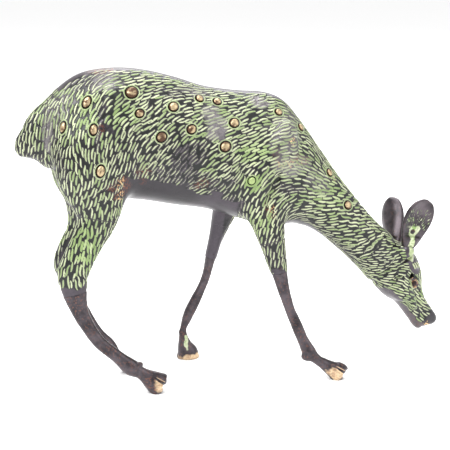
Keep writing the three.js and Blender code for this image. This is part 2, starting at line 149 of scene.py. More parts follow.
FORE_RIGHT = np.array([
    [10, -12, 150, 17, 9], [11.5, -15, 131, 15, 9], [13.8, -18, 113, 12, 8],
    [18, -20, 93, 8.1, 6.4], [20.5, -21, 81, 6.4, 5.4], [22.5, -22, 72, 5.1, 4.5],
    [25.2, -24, 59.5, 3.9, 3.4], [28.6, -25.5, 48, 3.3, 3.0], [32.6, -27, 38, 3.6, 3.2],
    [36.9, -28, 27.5, 3.7, 3.2], [41.2, -29, 19, 4.4, 3.8], [46, -30, 14, 3.3, 3.1],
    [51, -30.5, 10.5, 3.8, 3.8], [57, -31, 6.2, 5.4, 5.2], [61.5, -31, 3, 6.3, 6],
], float)
FORE_LEFT = np.array([
    [4, 12, 150, 15, 9], [2, 15, 130, 12, 8.5], [-2, 19, 110, 8.6, 7.2],
    [-5.3, 22, 97, 6, 5.6], [-8, 24, 86.5, 4.3, 4.2], [-10.7, 27, 73, 3.6, 3.6],
    [-14.1, 30, 56.5, 2.9, 2.9], [-20, 32, 42.5, 3.5, 3.2], [-25.2, 34, 30.5, 3.5, 3.1],
    [-27.8, 36, 21.5, 2.2, 2.4], [-27.6, 37, 15.5, 3.2, 3.2], [-26.4, 37.5, 9.5, 5, 4.6],
    [-24.6, 38, 4, 7.2, 6], [-24, 38, -0.5, 7.8, 6.4],
], float)


# Curves and sections.


def unit(vectors: Array) -> Array:
    """Vectors of the same directions, one long."""
    return vectors / np.linalg.norm(vectors, axis=-1, keepdims=True)


def dot(a: Array, b: Array) -> Array:
    """Row by row scalar products."""
    return np.sum(a * b, axis=-1)


def round_turn(sides: int) -> Array:
    """Even angles of a full turn."""
    return np.arange(sides) / sides * 2 * math.pi


def ease(low: float, high: float, values: Array) -> Array:
    """A smooth step from 0 at the low value to 1 at the high one.

    Args:
        low: Value where the step starts; it may be the larger of the two.
        high: Value where the step ends.
        values: Values to turn into shares.

    Returns:
        The shares, from 0 to 1.
    """
    t = np.clip((values - low) / (high - low), 0, 1)
    return t * t * (3 - 2 * t)


def smooth(table: Array, places: Array) -> tuple[Array, Array]:
    """Runs an even Catmull-Rom curve through the rows of a table.

    Args:
        table: One row of numbers for each station.
        places: Places along the list of stations, whole at a station.

    Returns:
        The values at the places, and their slopes.
    """
    rows = np.vstack([2 * table[0] - table[1], table, 2 * table[-1] - table[-2]])
    start = np.clip(np.floor(places).astype(int), 0, len(table) - 2)
    t = (places - start)[:, None]
    before, first, second, after = (rows[start + k] for k in range(4))
    leave, arrive = (second - before) / 2, (after - first) / 2
    cubic = 2 * first - 2 * second + leave + arrive
    square = 3 * second - 3 * first - 2 * leave - arrive
    return ((cubic * t + square) * t + leave) * t + first, (3 * cubic * t + 2 * square) * t + leave


@dataclass
class Sections:
    """Oval sections along a body or a limb, one row each.

    Attributes:
        middle: Middles.
        side: Directions across.
        up: Directions of the depth.
        forward: Directions of travel.
        wide: Half widths.
        deep: Half depths.
    """

    middle: Array
    side: Array
    up: Array
    forward: Array
    wide: Array
    deep: Array

    @classmethod
    def leaning(cls, table: Array, places: Array) -> "Sections":
        """Sections that stand across X and lean, from rows of x, z, depth, width and lean.

        Args:
            table: Rows of middle x and z, half depth, half width and lean in degrees.
            places: Places along the table.

        Returns:
            The sections.
        """
        values, _ = smooth(table, np.atleast_1d(np.asarray(places, float)))
        lean = np.radians(values[:, 4])
        none = np.zeros_like(lean)
        up = np.stack([np.sin(lean), none, np.cos(lean)], 1)
        forward = np.stack([up[:, 2], none, -up[:, 0]], 1)
        middle = np.stack([values[:, 0], none, values[:, 1]], 1)
        return cls(middle, np.tile(SIDEWAYS, (len(lean), 1)), up, forward, values[:, 3], values[:, 2])

    @classmethod
    def square(cls, table: Array, places: Array) -> "Sections":
        """Sections square to a limb's own path, from rows of x, y, z, depth and width.

        Args:
            table: Rows of middle x, y and z, half depth and half width.
            places: Places along the table.

        Returns:
            The sections.
        """
        values, slopes = smooth(table, np.atleast_1d(np.asarray(places, float)))
        forward = unit(slopes[:, :3])
        side = unit(SIDEWAYS - forward * forward[:, 1:2])
        return cls(values[:, :3], side, np.cross(forward, side), forward, values[:, 4], values[:, 3])

    def skin(self, sides: int, growth: float = 0.0, narrowing: float = 0.0) -> "Skin":
        """Stretches a closed skin over the sections.

        Args:
            sides: Corners of each ring.
            growth: How much larger the skin is all round.
            narrowing: Share by which the upper half is narrower and the lower one wider.

        Returns:
            The closed skin.
        """
        turn = round_turn(sides)
        across = (self.wide + growth)[:, None] * np.cos(turn) * (1 - narrowing * np.sin(turn))
        depth = (self.deep + growth)[:, None] * np.sin(turn)
        rings = self.middle[:, None] + across[..., None] * self.side[:, None]
        return Skin.over(rings + depth[..., None] * self.up[:, None])


class Skin(NamedTuple):
    """A closed surface: points in millimetres, and faces of three or four corners."""

    points: Array
    faces: Array

    @classmethod
    def over(cls, rings: Array) -> "Skin":
        """Closes a skin over rings that turn about their direction of travel, with flat ends.

        Args:
            rings: Rings of points, each with as many as the others.

        Returns:
            The closed skin.
        """
        count, sides = rings.shape[:2]
        number = np.arange(count * sides).reshape(count, sides)
        after = np.roll(number, -1, axis=1)
        a, b, c, d = number[:-1].ravel(), after[:-1].ravel(), after[1:].ravel(), number[1:].ravel()
        faces = [np.stack([a, b, d], 1), np.stack([b, c, d], 1)]
        first, last = number[0], number[-1]
        ahead = np.arange(1, sides - 1)
        faces.append(np.stack([np.full_like(ahead, first[0]), first[ahead + 1], first[ahead]], 1))
        faces.append(np.stack([np.full_like(ahead, last[0]), last[ahead], last[ahead + 1]], 1))
        return cls(rings.reshape(-1, 3), np.concatenate(faces))


# Distance fields, in which the castings are modelled.


@dataclass(frozen=True)
class Grid:
    """An even grid of points.

    Attributes:
        low: Lowest corner.
        high: Highest corner.
        voxel: Spacing.
    """

    low: tuple[float, float, float]
    high: tuple[float, float, float]
    voxel: float

    @cached_property
    def first(self) -> Array:
        """Index of the lowest point."""
        return np.floor(np.array(self.low) / self.voxel).astype(int)

    @cached_property
    def shape(self) -> tuple[int, int, int]:
        """Number of points each way."""
        return tuple(np.ceil(np.array(self.high) / self.voxel).astype(int) - self.first + 1)

    @cached_property
    def transform(self) -> vdb.Transform:
        """The library's map from index to place."""
        return vdb.createLinearTransform(voxelSize=self.voxel)

    def axes(self) -> tuple[Array, ...]:
        """Coordinates along X, Y and Z, shaped to combine into the whole grid."""
        numbers = (np.arange(count) + start for count, start in zip(self.shape, self.first))
        return np.ix_(*((along * self.voxel).astype(np.float32) for along in numbers))


class Field:
    """Distances to a surface on a grid, negative inside, kept within a band."""

    BAND = 7.0
    BLUR_REACH = 2.5  # in standard deviations
    TINY = 1e-6

    def __init__(self, grid: Grid, values: Array) -> None:
        """Holds a grid and its values."""
        self.grid = grid
        self.values = values

    @classmethod
    def inside(cls, grid: Grid, skin: Skin) -> "Field":
        """Measures the distance to a closed skin.

        Args:
            grid: Grid to measure on.
            skin: The closed skin.

        Returns:
            The distances.
        """
        level = vdb.FloatGrid.createLevelSetFromPolygons(
            skin.points.astype(np.float32),
            triangles=skin.faces.astype(np.uint32),
            transform=grid.transform,
            halfWidth=cls.BAND / grid.voxel,
        )
        values = np.empty(grid.shape, np.float32)
        level.copyToArray(values, ijk=tuple(int(i) for i in grid.first))
        return cls(grid, values)

    @classmethod
    def plane(cls, grid: Grid, point: Array, outward: Array) -> "Field":
        """Everything behind a plane whose direction points out.

        Args:
            grid: Grid to measure on.
            point: A point of the plane.
            outward: The way out of the solid.

        Returns:
            The distances.
        """
        x, y, z = grid.axes()
        values = (x - point[0]) * outward[0] + (y - point[1]) * outward[1]
        values = values + (z - point[2]) * outward[2]
        return cls(grid, values.astype(np.float32))

    def join(self, other: "Field", blend: float = 0.0) -> "Field":
        """Adds another shape, with a fillet of about the given size."""
        self._mix(self.values, other.values, blend, 1)
        return self

    def cut(self, other: "Field", blend: float = 0.0) -> "Field":
        """Takes another shape away, with a rounding of about the given size."""
        self._mix(self.values, -other.values, blend, -1)
        return self

    def keep(self, other: "Field") -> "Field":
        """Keeps only what lies in the other shape."""
        self._mix(self.values, other.values, 0, -1)
        return self

    @staticmethod
    def _mix(mine: Array, other: Array, blend: float, sign: int) -> None:
        """Writes the smooth least (sign 1) or greatest (sign -1) of two arrays into the first.

        Args:
            mine: Array that is changed.
            other: The other array.
            blend: Size of the soft edge between them.
            sign: 1 for the least and -1 for the greatest.
        """
        if blend <= 0:
            (np.minimum if sign > 0 else np.maximum)(mine, other, out=mine)
            return
        share = np.clip(0.5 + sign * 0.5 * (other - mine) / blend, 0, 1)
        mine += (other - mine) * (1 - share) - sign * blend * share * (1 - share)

    def lump(
        self, centre: Array, axes: Array, radii: Iterable[float], blend: float, sign: int = 1
    ) -> "Field":
        """Adds an egg-shaped lump, or takes out a hollow.

        Args:
            centre: Middle of the lump.
            axes: Its three directions, one a row.
            radii: Its three radii.
            blend: Size of the soft edge.
            sign: 1 adds and -1 takes out.

        Returns:
            This field.
        """
        radii = np.asarray(list(radii), float)
        reach = radii.max() + 2 * blend
        voxel, first = self.grid.voxel, self.grid.first
        start = np.clip(np.floor((centre - reach) / voxel).astype(int) - first, 0, None)
        stop = np.ceil((centre + reach) / voxel).astype(int) - first + 1
        window = tuple(slice(int(a), int(max(a, b))) for a, b in zip(start, stop))
        part = self.values[window]
        if part.size == 0:
            return self
        x, y, z = self.grid.axes()
        x, y, z = x[window[0]] - centre[0], y[:, window[1]] - centre[1], z[:, :, window[2]] - centre[2]
        near, far = 0.0, 0.0
        for axis, radius in zip(axes, radii):
            along = x * axis[0] + y * axis[1] + z * axis[2]
            near = near + (along / radius) ** 2
            far = far + (along / radius**2) ** 2
        distance = np.sqrt(near) * (np.sqrt(near) - 1) / np.maximum(np.sqrt(far), self.TINY)
        self._mix(part, (sign * distance).astype(np.float32), blend, sign)
        return self

    def blur(self, size: float) -> "Field":
        """Softens every edge of the shape by a Gaussian of the given size.

        Args:
            size: Standard deviation of the Gaussian.

        Returns:
            This field.
        """
        sigma = size / self.grid.voxel
        reach = max(1, math.ceil(self.BLUR_REACH * sigma))
        steps = np.arange(-reach, reach + 1)
        weights = np.exp(-0.5 * (steps / sigma) ** 2)
        weights /= weights.sum()
        for axis in range(3):
            margins = [(reach, reach) if a == axis else (0, 0) for a in range(3)]
            padded = np.pad(self.values, margins, "edge")
            total = np.zeros_like(self.values)
            for step, weight in zip(range(2 * reach + 1), weights):
                cutout = [slice(None)] * 3
                cutout[axis] = slice(step, step + self.values.shape[axis])
                total += np.float32(weight) * padded[tuple(cutout)]
            self.values = total
        return self

    def at(self, points: Array) -> Array:
        """Distances at points, read between the grid's own.

        Args:
            points: Any points.

        Returns:
            The distances.
        """
        place = points / self.grid.voxel - self.grid.first
        base = np.clip(np.floor(place).astype(int), 0, np.array(self.grid.shape) - 2)
        share = np.clip(place - base, 0, 1)
        total = np.zeros(len(points))
        for corner in np.ndindex(2, 2, 2):
            weight = np.prod(np.where(corner, share, 1 - share), axis=1)
            i, j, k = (base + corner).T
            total += weight * self.values[i, j, k]
        return total

    def skin(self) -> Skin:
        """The surface where the distance is nought, in squares.

        Returns:
            The skin.
        """
        level = vdb.FloatGrid(background=self.BAND)
        level.transform = self.grid.transform
        level.copyFromArray(self.values, ijk=tuple(int(i) for i in self.grid.first))
        points, quads = level.convertToQuads(isovalue=0.0)
        return Skin(points.astype(float), quads.astype(np.int64))


# Pieces on the bench.


def frame_offset() -> Array:
    """Where the casting's origin lies in the frame, in millimetres, found from the rump dowel."""
    low, high = (np.array(corner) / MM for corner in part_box("dowel_rump"))
    return (low + high) / 2 - DowelSet().middle("dowel_rump")


def to_casting(point: Vector | Array) -> Array:
    """A point of the frame in the casting's own millimetres."""
    return np.array(point) / MM - frame_offset()


def circle(axis: Array, sides: int) -> Array:
    """Lays out a circle of radius one about an axis.

    Args:
        axis: Direction of the axis, one long.
        sides: Number of points.

    Returns:
        The points, about nought.
    """
    across = unit(np.cross(axis, UPWARD if abs(axis[2]) < STEEP else SIDEWAYS))
    turn = round_turn(sides)
    return np.cos(turn)[:, None] * across + np.sin(turn)[:, None] * np.cross(axis, across)


def rod(start: Array, end: Array, radius: float, sides: int = SIDES) -> Skin:
    """A round bar from one point to another."""
    ring = radius * circle(unit(end - start), sides)
    return Skin.over(np.stack([start + ring, end + ring]))


def lathe(profile: Iterable[tuple[float, float]], place: Array, axis: Array, sides: int = SIDES) -> Skin:
    """Turns a profile about an axis.

    Args:
        profile: Radius and distance along the axis of each point, in the axis's direction.
        place: Where the axis starts.
        axis: Direction of the axis.
        sides: Corners of each ring.

    Returns:
        The closed skin.
    """
    axis = unit(axis)
    ring = circle(axis, sides)
    return Skin.over(np.stack([place + axis * height + ring * radius for radius, height in profile]))


def block(point: Array, direction: Array, size: float = FAR, depth: float = FAR) -> Skin:
    """A box that stands on a plane and reaches the way the direction points.

    Args:
        point: Middle of the face that stands on the plane.
        direction: The way the box reaches.
        size: Breadth of the box.
        depth: How far it reaches.

    Returns:
        The closed skin.
    """
    direction = unit(direction)
    across = unit(np.cross(direction, SIDEWAYS if abs(direction[1]) < STEEP else UPWARD))
    other = np.cross(direction, across)
    corners = [across + other, other - across, -across - other, across - other]
    near = np.array([point + corner * size / 2 for corner in corners])
    return Skin.over(np.stack([near, near + direction * depth]))


class Piece:
    """A casting on the bench: tools cut it to shape, and then it takes its place."""

    def __init__(self, name: str, skin: Skin, marks: dict[str, Array] | None = None) -> None:
        """Makes the mesh.

        Args:
            name: Name of the piece.
            skin: Its surface.
            marks: Numbers at each point that the finish reads, by name.
        """
        mesh = bpy.data.meshes.new(name)
        points = (skin.points + frame_offset()) * MM
        corners = skin.faces.shape[1]
        mesh.vertices.add(len(points))
        mesh.vertices.foreach_set("co", points.astype(np.float32).ravel())
        mesh.loops.add(skin.faces.size)
        mesh.loops.foreach_set("vertex_index", skin.faces.astype(np.int32).ravel())
        mesh.polygons.add(len(skin.faces))
        starts = np.arange(0, skin.faces.size, corners, dtype=np.int32)
        mesh.polygons.foreach_set("loop_start", starts)
        mesh.update(calc_edges=True)
        for mark, values in (marks or {}).items():
            layer = mesh.attributes.new(mark, "FLOAT", "POINT")
            layer.data.foreach_set("value", values.astype(np.float32))
        self.object = bpy.data.objects.new(name, mesh)
        bpy.context.scene.collection.objects.link(self.object)

    def copy(self, name: str) -> "Piece":
        """Another piece of the same shape.

        Args:
            name: Name of the new piece.

        Returns:
            The new piece.
        """
        twin = object.__new__(Piece)
        twin.object = self.object.copy()
        twin.object.data = self.object.data.copy()
        twin.object.name = name
        bpy.context.scene.collection.objects.link(twin.object)
        return twin

    def cut(self, tool: "Skin | Piece", how: Cut = Cut.REMOVE) -> "Piece":
        """Cuts or joins the piece with a tool, and puts a tool made of bare skin away.

        Args:
            tool: Shape that acts on the piece.
            how: How it acts.

        Returns:
            This piece.
        """
        made = tool if isinstance(tool, Piece) else Piece("tool", tool)
        change = self.object.modifiers.new("cut", "BOOLEAN")
        change.operation = how.value
        change.object = made.object
        change.solver = "MANIFOLD"
        bpy.context.view_layer.update()
        graph = bpy.context.evaluated_depsgraph_get()
        mesh = bpy.data.meshes.new_from_object(self.object.evaluated_get(graph))
        self.object.modifiers.clear()
        old, self.object.data = self.object.data, mesh
        bpy.data.meshes.remove(old)
        if made is not tool:
            made.scrap()
        return self

    def scrap(self) -> None:
        """Takes the piece off the bench."""
        mesh = self.object.data
        bpy.data.objects.remove(self.object)
        bpy.data.meshes.remove(mesh)

    def place(self, slot: Slot, material: bpy.types.Material, *nodes: str, sharp: float = 50.0) -> None:
        """Finishes the piece and stands it in for CAD nodes.

        Args:
            slot: Material slot of the record; not used.
            material: Its finish.
            nodes: Names of the CAD nodes it stands for.
            sharp: Angle in degrees from which an edge stays crisp.
        """
        mesh = self.object.data
        mesh.name = self.object.name
        mesh.materials.clear()
        mesh.materials.append(material)
        mesh.shade_smooth()
        mesh.set_sharp_from_angle(angle=math.radians(sharp))
        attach(self.object, BODY)
        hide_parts(*nodes)
        log.info("%s: %d faces", self.object.name, len(mesh.polygons))


# The chased coat.


def point_normals(skin: Skin) -> Array:
    """Directions square to the surface at every point of a skin of squares.

    Args:
        skin: A skin of squares.

    Returns:
        The directions.
    """
    a, b, c, d = (skin.points[skin.faces[:, k]] for k in range(4))
    facing = np.cross(c - a, d - b)
    total = np.zeros_like(skin.points)
    for corner in range(4):
        for axis in range(3):
            total[:, axis] += np.bincount(skin.faces[:, corner], facing[:, axis], len(total))
    return unit(total + 1e-12)


def kd_tree(points: Array) -> KDTree:
    """A search tree over points.

    Args:
        points: Points to search among.

    Returns:
        The tree, ready to search.
    """
    tree = KDTree(len(points))
    for i, point in enumerate(points.tolist()):
        tree.insert(point, i)
    tree.balance()
    return tree


def neighbours(tree: KDTree, middle: Array, reach: float) -> Array:
    """Numbers of the points of a tree within reach of a place."""
    return np.array([found[1] for found in tree.find_range(middle.tolist(), reach)])


def nearest(tree: KDTree, places: Array) -> Array:
    """Number of the point of a tree that is nearest to each place."""
    return np.array([tree.find(place.tolist())[1] for place in places])


def grain(points: Array, size: float, seed: int) -> Array:
    """Soft random values from -1 to 1 over space.

    Args:
        points: Where the values are wanted.
        size: Distance over which they change.
        seed: Number that picks the pattern.

    Returns:
        One value for each point.
    """
    rng = np.random.default_rng(seed)
    total = np.zeros(len(points))
    waves = 14
    for _ in range(waves):
        way = unit(rng.normal(size=3)) * 2 * math.pi / (size * rng.uniform(1.2, 4))
        total += np.sin(points @ way + rng.uniform(0, 2 * math.pi))
    return np.clip(total / math.sqrt(waves), -1.6, 1.6) / 1.6


class Patch(NamedTuple):
    """An oval place on the side of the animal: middle x and z, radii, slope and strength."""

    x: float
    z: float
    long: float
    short: float
    slope: float
    strength: float

    def share(self, points: Array) -> Array:
        """How much of the patch covers each point, fading at a ragged edge.

        Args:
            points: Surface points.

        Returns:
            The shares.
        """
        turn = math.radians(self.slope)
        x, z = points[:, 0] - self.x, points[:, 2] - self.z
        along = (x * math.cos(turn) + z * math.sin(turn)) / self.long
        across = (z * math.cos(turn) - x * math.sin(turn)) / self.short
        ragged = 0.35 * grain(points, 3.5, 17)
        return self.strength * ease(1.25, 0.6, np.hypot(along, across) + ragged)


def cover(patches: Iterable[Patch], points: Array) -> Array:
    """The strongest of several patches at each point.

    Args:
        patches: The patches.
        points: Surface points.

    Returns:
        The strengths.
    """
    total = np.zeros(len(points))
    for patch in patches:
        np.maximum(total, patch.share(points), out=total)
    return total


Lay = Callable[[Array], Array]


@dataclass(frozen=True)
class Coat:
    """Hair strokes chased into a surface.

    Attributes:
        lay: Gives the way the hair lies at points.
        length: Usual distance between strokes along their lie.
        width: Usual distance between strokes across it.
        relief: Height of a stroke.
        seed: Number that picks the strokes.
        wave: How much the strokes bend.
    """

    lay: Lay
    length: float = 6.6
    width: float = 1.72
    relief: float = 0.42
    seed: int = 1
    wave: float = 0.05

    ENOUGH_ROOM = 0.4  # least room at the middle of a stroke
    THINNING = 4  # one point in so many may start a stroke
    ROUNDS = 5  # times the strokes settle
    CROWDED = 0.86  # squared distance, in strokes, within which another is dropped
    PUSH_REACH = 1.35  # distance, in strokes, within which two push apart
    PUSH = 0.22
    SAME_LAYER = 2.5  # strokes further apart in depth lie on another surface
    FLOOR = -0.5  # height of the ground between strokes

    def chase(self, points: Array, normals: Array, room: Array) -> tuple[Array, Array]:
        """Strikes the strokes.

        Args:
            points: Points of the surface.
            normals: Directions square to it.
            room: Where strokes may lie, from 0 to 1.

        Returns:
            Height of the coat at each point, from 0 in a gap to 1 on a stroke, and a
            random tone from -1 to 1 for each stroke.
        """
        rng = np.random.default_rng(self.seed)
        spots = np.flatnonzero(room > self.ENOUGH_ROOM)
        if len(spots) == 0:
            return np.zeros(len(points)), np.zeros(len(points))
        tree = kd_tree(points)
        spots = rng.permutation(spots)[: max(1, len(spots) // self.THINNING)]
        middles = points[self._spread(points, normals, spots)]
        for _ in range(self.ROUNDS):
            middles = self._settle(tree, points, normals, middles)
        return self._strike(tree, points, normals, middles, rng)

    def _directions(self, points: Array, normals: Array) -> tuple[Array, Array]:
        """Directions along and across the hair, in the surface.

        Args:
            points: Surface points.
            normals: Their normals.

        Returns:
            Both directions.
        """
        lie = self.lay(points)
        along = unit(lie - normals * dot(lie, normals)[:, None] + 1e-9)
        return along, np.cross(normals, along)

    def _spread(self, points: Array, normals: Array, spots: Array) -> Array:
        """Picks spots that keep their distance from each other, along and across the hair.

        Args:
            points: Surface points.
            normals: Their normals.
            spots: Points to pick from, by number.

        Returns:
            The spots that are picked.
        """
        there = points[spots]
        along, across = self._directions(there, normals[spots])
        tree = kd_tree(there)
        free = np.ones(len(spots), bool)
        picked = []
        for i in range(len(spots)):
            if not free[i]:
                continue
            picked.append(i)
            near = neighbours(tree, there[i], self.length)
            apart = there[near] - there[i]
            s, t = apart @ along[i] / self.length, apart @ across[i] / self.width
            free[near[s * s + t * t < self.CROWDED]] = False
        return spots[picked]

    def _settle(self, tree: KDTree, points: Array, normals: Array, middles: Array) -> Array:
        """Moves strokes that crowd each other apart, over the surface.

        Args:
            tree: Search tree of the points.
            points: Surface points.
            normals: Their normals.
            middles: Middles of strokes.

        Returns:
            The new middles.
        """
        place = nearest(tree, middles)
        normal = normals[place]
        along, across = self._directions(points[place], normal)
        others = kd_tree(middles)
        moved = middles.copy()
        for i, middle in enumerate(middles):
            near = neighbours(others, middle, self.length * 1.3)
            near = near[near != i]
            if len(near) == 0:
                continue
            apart = middles[near] - middle
            s, t = apart @ along[i] / self.length, apart @ across[i] / self.width
            away = np.hypot(s, t)
            level = abs(apart @ normal[i]) < self.SAME_LAYER
            push = np.clip(self.PUSH_REACH - away, 0, 1) * level / np.maximum(away, 0.2) * self.PUSH
            moved[i] -= along[i] * (push @ s) * self.length * 0.5 + across[i] * (push @ t) * self.width
        lift = dot(moved - points[place], normal)
        return moved - normal * lift[:, None]

    def _strike(
        self, tree: KDTree, points: Array, normals: Array, middles: Array, rng: np.random.Generator
    ) -> tuple[Array, Array]:
        """Works out the two highest strokes at each point, and the groove between them.

        Args:
            tree: Search tree of the points.
            points: Surface points.
            normals: Their normals.
            middles: Middles of strokes.
            rng: Random source.

        Returns:
            Height and tone at each point.
        """
        place = nearest(tree, middles)
        along, across = self._directions(points[place], normals[place])
        turn = rng.normal(0, 0.06, len(place)) + 0.1 * grain(middles, 7, self.seed + 40)
        size = rng.uniform(0.75, 1.2, len(place))
        bend = self.wave * grain(middles, 9, self.seed + 50)
        bend = bend + rng.normal(0, 0.3 * self.wave, len(place))
        curl = 0.5 * self.wave * grain(middles, 8, self.seed + 60)
        tones = rng.uniform(-1, 1, len(place))
        reach = self.length * 0.8
        hit, height, stroke = [], [], []
        for i, middle in enumerate(middles):
            near = neighbours(tree, middle, reach)
            apart = points[near] - middle
            s, t = apart @ along[i], apart @ across[i]
            t = t - turn[i] * s - bend[i] * s * s - curl[i] * s**3
            half = 0.58 * self.length * size[i]
            wide = 0.5 * self.width * (1 - 0.5 * np.clip(s / half, -1, 1) ** 2)
            rise = 1 - np.hypot(t, np.maximum(abs(s) - half + wide, 0)) / wide
            kept = (rise > self.FLOOR) & (normals[near] @ normals[place[i]] > 0.3)
            hit.append(near[kept])
            height.append(rise[kept])
            stroke.append(np.full(kept.sum(), i))
        hit, height, stroke = np.concatenate(hit), np.concatenate(height), np.concatenate(stroke)
        order = np.lexsort((-height, hit))
        hit, height, stroke = hit[order], height[order], stroke[order]
        start = np.flatnonzero(np.r_[True, hit[1:] != hit[:-1]])
        best, second = np.full(len(points), self.FLOOR), np.full(len(points), self.FLOOR)
        best[hit[start]] = height[start]
        again = start + 1
        again = again[again < len(hit)]
        again = again[hit[again] == hit[again - 1]]
        second[hit[again]] = height[again]
        tone = np.zeros(len(points))
        tone[hit[start]] = tones[stroke[start]]
        ridge = np.clip((best - self.FLOOR) / (1 - self.FLOOR), 0, 1)
        groove = np.clip((best - second) / 0.5, 0, 1)
        return ridge * (0.35 + 0.65 * groove), tone


class Rosette(NamedTuple):
    """The raised ring round a spot.

    Attributes:
        middle: Middle of the spot.
        radius: Radius of the spot.
        along: Direction of the hair at the spot.
        across: Direction across the hair.
        stretch: How much longer the spot is along the hair.
    """

    middle: Array
    radius: float
    along: Array
    across: Array
    stretch: float

    def distance(self, points: Array) -> Array:
        """Distance from the oval edge of the spot, negative inside it.

        Args:
            points: Surface points.

        Returns:
            The distances.
        """
        apart = points - self.middle
        s, t = apart @ self.along / self.stretch, apart @ self.across * self.stretch
        lift = apart @ np.cross(self.along, self.across)
        return np.sqrt(s * s + t * t + lift * lift * 0.5) - self.radius


class Lie:
    """The way the hair lies on the animal's sides, from hints at a few places."""

    SPREAD = 11.0

    def __init__(self, hints: Array) -> None:
        """Keeps hints of x, z and slope in degrees."""
        self.hints = hints

    def __call__(self, points: Array) -> Array:
        """Directions of the hair at points.

        Args:
            points: Surface points.

        Returns:
            The directions.
        """
        x, z = points[:, :1] - self.hints[:, 0], points[:, 2:] - self.hints[:, 1]
        square = x * x + z * z
        weight = np.exp(-(square - square.min(1, keepdims=True)) / (2 * self.SPREAD**2))
        double = np.radians(2 * self.hints[:, 2])
        wobble = 0.12 * grain(points, 9, 5)
        slope = np.arctan2(weight @ np.sin(double), weight @ np.cos(double)) / 2 + wobble
        return np.stack([np.cos(slope), np.zeros_like(slope), np.sin(slope)], 1)


# Finishes.


Colour = tuple[float, float, float]
Number = "float | Link"


def paint(red: int, green: int, blue: int) -> Colour:
    """A colour mixed from everyday values of 0 to 255, as light."""
    shares = (value / 255 for value in (red, green, blue))
    return tuple(s / 12.92 if s <= 0.04045 else ((s + 0.055) / 1.055) ** 2.4 for s in shares)


class Link:
    """An output socket that joins in sums."""

    def __init__(self, recipe: "Recipe", socket: bpy.types.NodeSocket) -> None:
        """Holds the socket and the recipe it belongs to."""
        self.recipe = recipe
        self.socket = socket

    def _sum(self, operation: str, a: Number, b: Number) -> "Link":
        """A Math node on two values."""
        return self.recipe.node("ShaderNodeMath", {"operation": operation}, {0: a, 1: b})

    def __add__(self, other: Number) -> "Link":
        """Adds."""
        return self._sum("ADD", self, other)

    def __radd__(self, other: Number) -> "Link":
        """Adds to a number."""
        return self._sum("ADD", other, self)

    def __sub__(self, other: Number) -> "Link":
        """Subtracts."""
        return self._sum("SUBTRACT", self, other)

    def __rsub__(self, other: Number) -> "Link":
        """Subtracts from a number."""
        return self._sum("SUBTRACT", other, self)

    def __mul__(self, other: Number) -> "Link":
        """Multiplies."""
        return self._sum("MULTIPLY", self, other)

    def __rmul__(self, other: Number) -> "Link":
        """Multiplies a number."""
        return self._sum("MULTIPLY", other, self)

    def step(self, low: float, high: float) -> "Link":
        """A smooth step from 0 at the low value to 1 at the high one."""
        settings = {"interpolation_type": "SMOOTHSTEP"}
        return self.recipe.node("ShaderNodeMapRange", settings, {0: self, 1: low, 2: high, 3: 0.0, 4: 1.0})


class Recipe:
    """The nodes of one material."""

    def __init__(self, name: str) -> None:
        """Starts an empty material.

        Args:
            name: Name of the material.
        """
        self.material = bpy.data.materials.new(name)
        self.material.use_nodes = True
        self.tree = self.material.node_tree
        self.tree.nodes.clear()

    def node(
        self,
        kind: str,
        settings: dict[str, object] | None = None,
        inputs: dict[int | str, object] | None = None,
        output: int | str = 0,
    ) -> Link:
        """Adds a node.

        Args:
            kind: Type of the node.
            settings: Its settings, set first.
            inputs: Values or links of its sockets.
            output: The output that is wanted.

        Returns:
            The output's link.
        """
        made = self.tree.nodes.new(kind)
        for name, value in (settings or {}).items():
            setattr(made, name, value)
        for name, value in (inputs or {}).items():
            if isinstance(value, Link):
                self.tree.links.new(value.socket, made.inputs[name])
            else:
                made.inputs[name].default_value = value
        return Link(self, made.outputs[output])

    def mark(self, name: str) -> Link:
        """A number stored at the points of the piece."""
        return self.node("ShaderNodeAttribute", {"attribute_name": name}, output="Fac")

    def mix(self, share: Number, first: "Colour | Link", second: "Colour | Link", how: str = "MIX") -> Link:
        """Mixes two colours.

        Args:
            share: How much of the second there is.
            first: First colour.
            second: Second colour.
            how: Way of mixing.

        Returns:
            The mixed colour.
        """
        settings = {"data_type": "RGBA", "blend_type": how, "clamp_result": True}
        colours = (value if isinstance(value, Link) else (*value, 1.0) for value in (first, second))
        inputs = dict(zip((0, 6, 7), (share, *colours)))
        return self.node("ShaderNodeMix", settings, inputs, output=2)

    @cached_property
    def place(self) -> Link:
        """Position on the piece."""
        return self.node("ShaderNodeTexCoord", output="Object")

    def noise(self, scale: float, detail: float = 2.0, rough: float = 0.5) -> Link:
        """Cloudy noise about 0.5, with a number of clouds to the metre."""
        inputs = {"Vector": self.place, "Scale": scale, "Detail": detail, "Roughness": rough}
        return self.node("ShaderNodeTexNoise", None, inputs)

    def finish(
        self,
        colour: Link,
        roughness: Number,
        metallic: Number,
        height: Link,
        depth: float,
        coat: float = 0.0,
    ) -> bpy.types.Material:
        """Closes the material with a metal shader.

        Args:
            colour: Base colour.
            roughness: Roughness.
            metallic: Share of bare metal.
            height: Relief from 0 to 1.
            depth: Height of the relief in metres.
            coat: Weight of the lacquer.

        Returns:
            The material.
        """
        bump = self.node("ShaderNodeBump", None, {"Height": height, "Distance": depth, "Strength": 1.0})
        inputs = {
            "Base Color": colour, "Roughness": roughness, "Metallic": metallic, "Normal": bump,
            "Coat Weight": coat, "Coat Roughness": 0.25,
        }
        shader = self.node("ShaderNodeBsdfPrincipled", None, inputs)
        surface = self.tree.nodes.new("ShaderNodeOutputMaterial")
        self.tree.links.new(shader.socket, surface.inputs["Surface"])
        return self.material


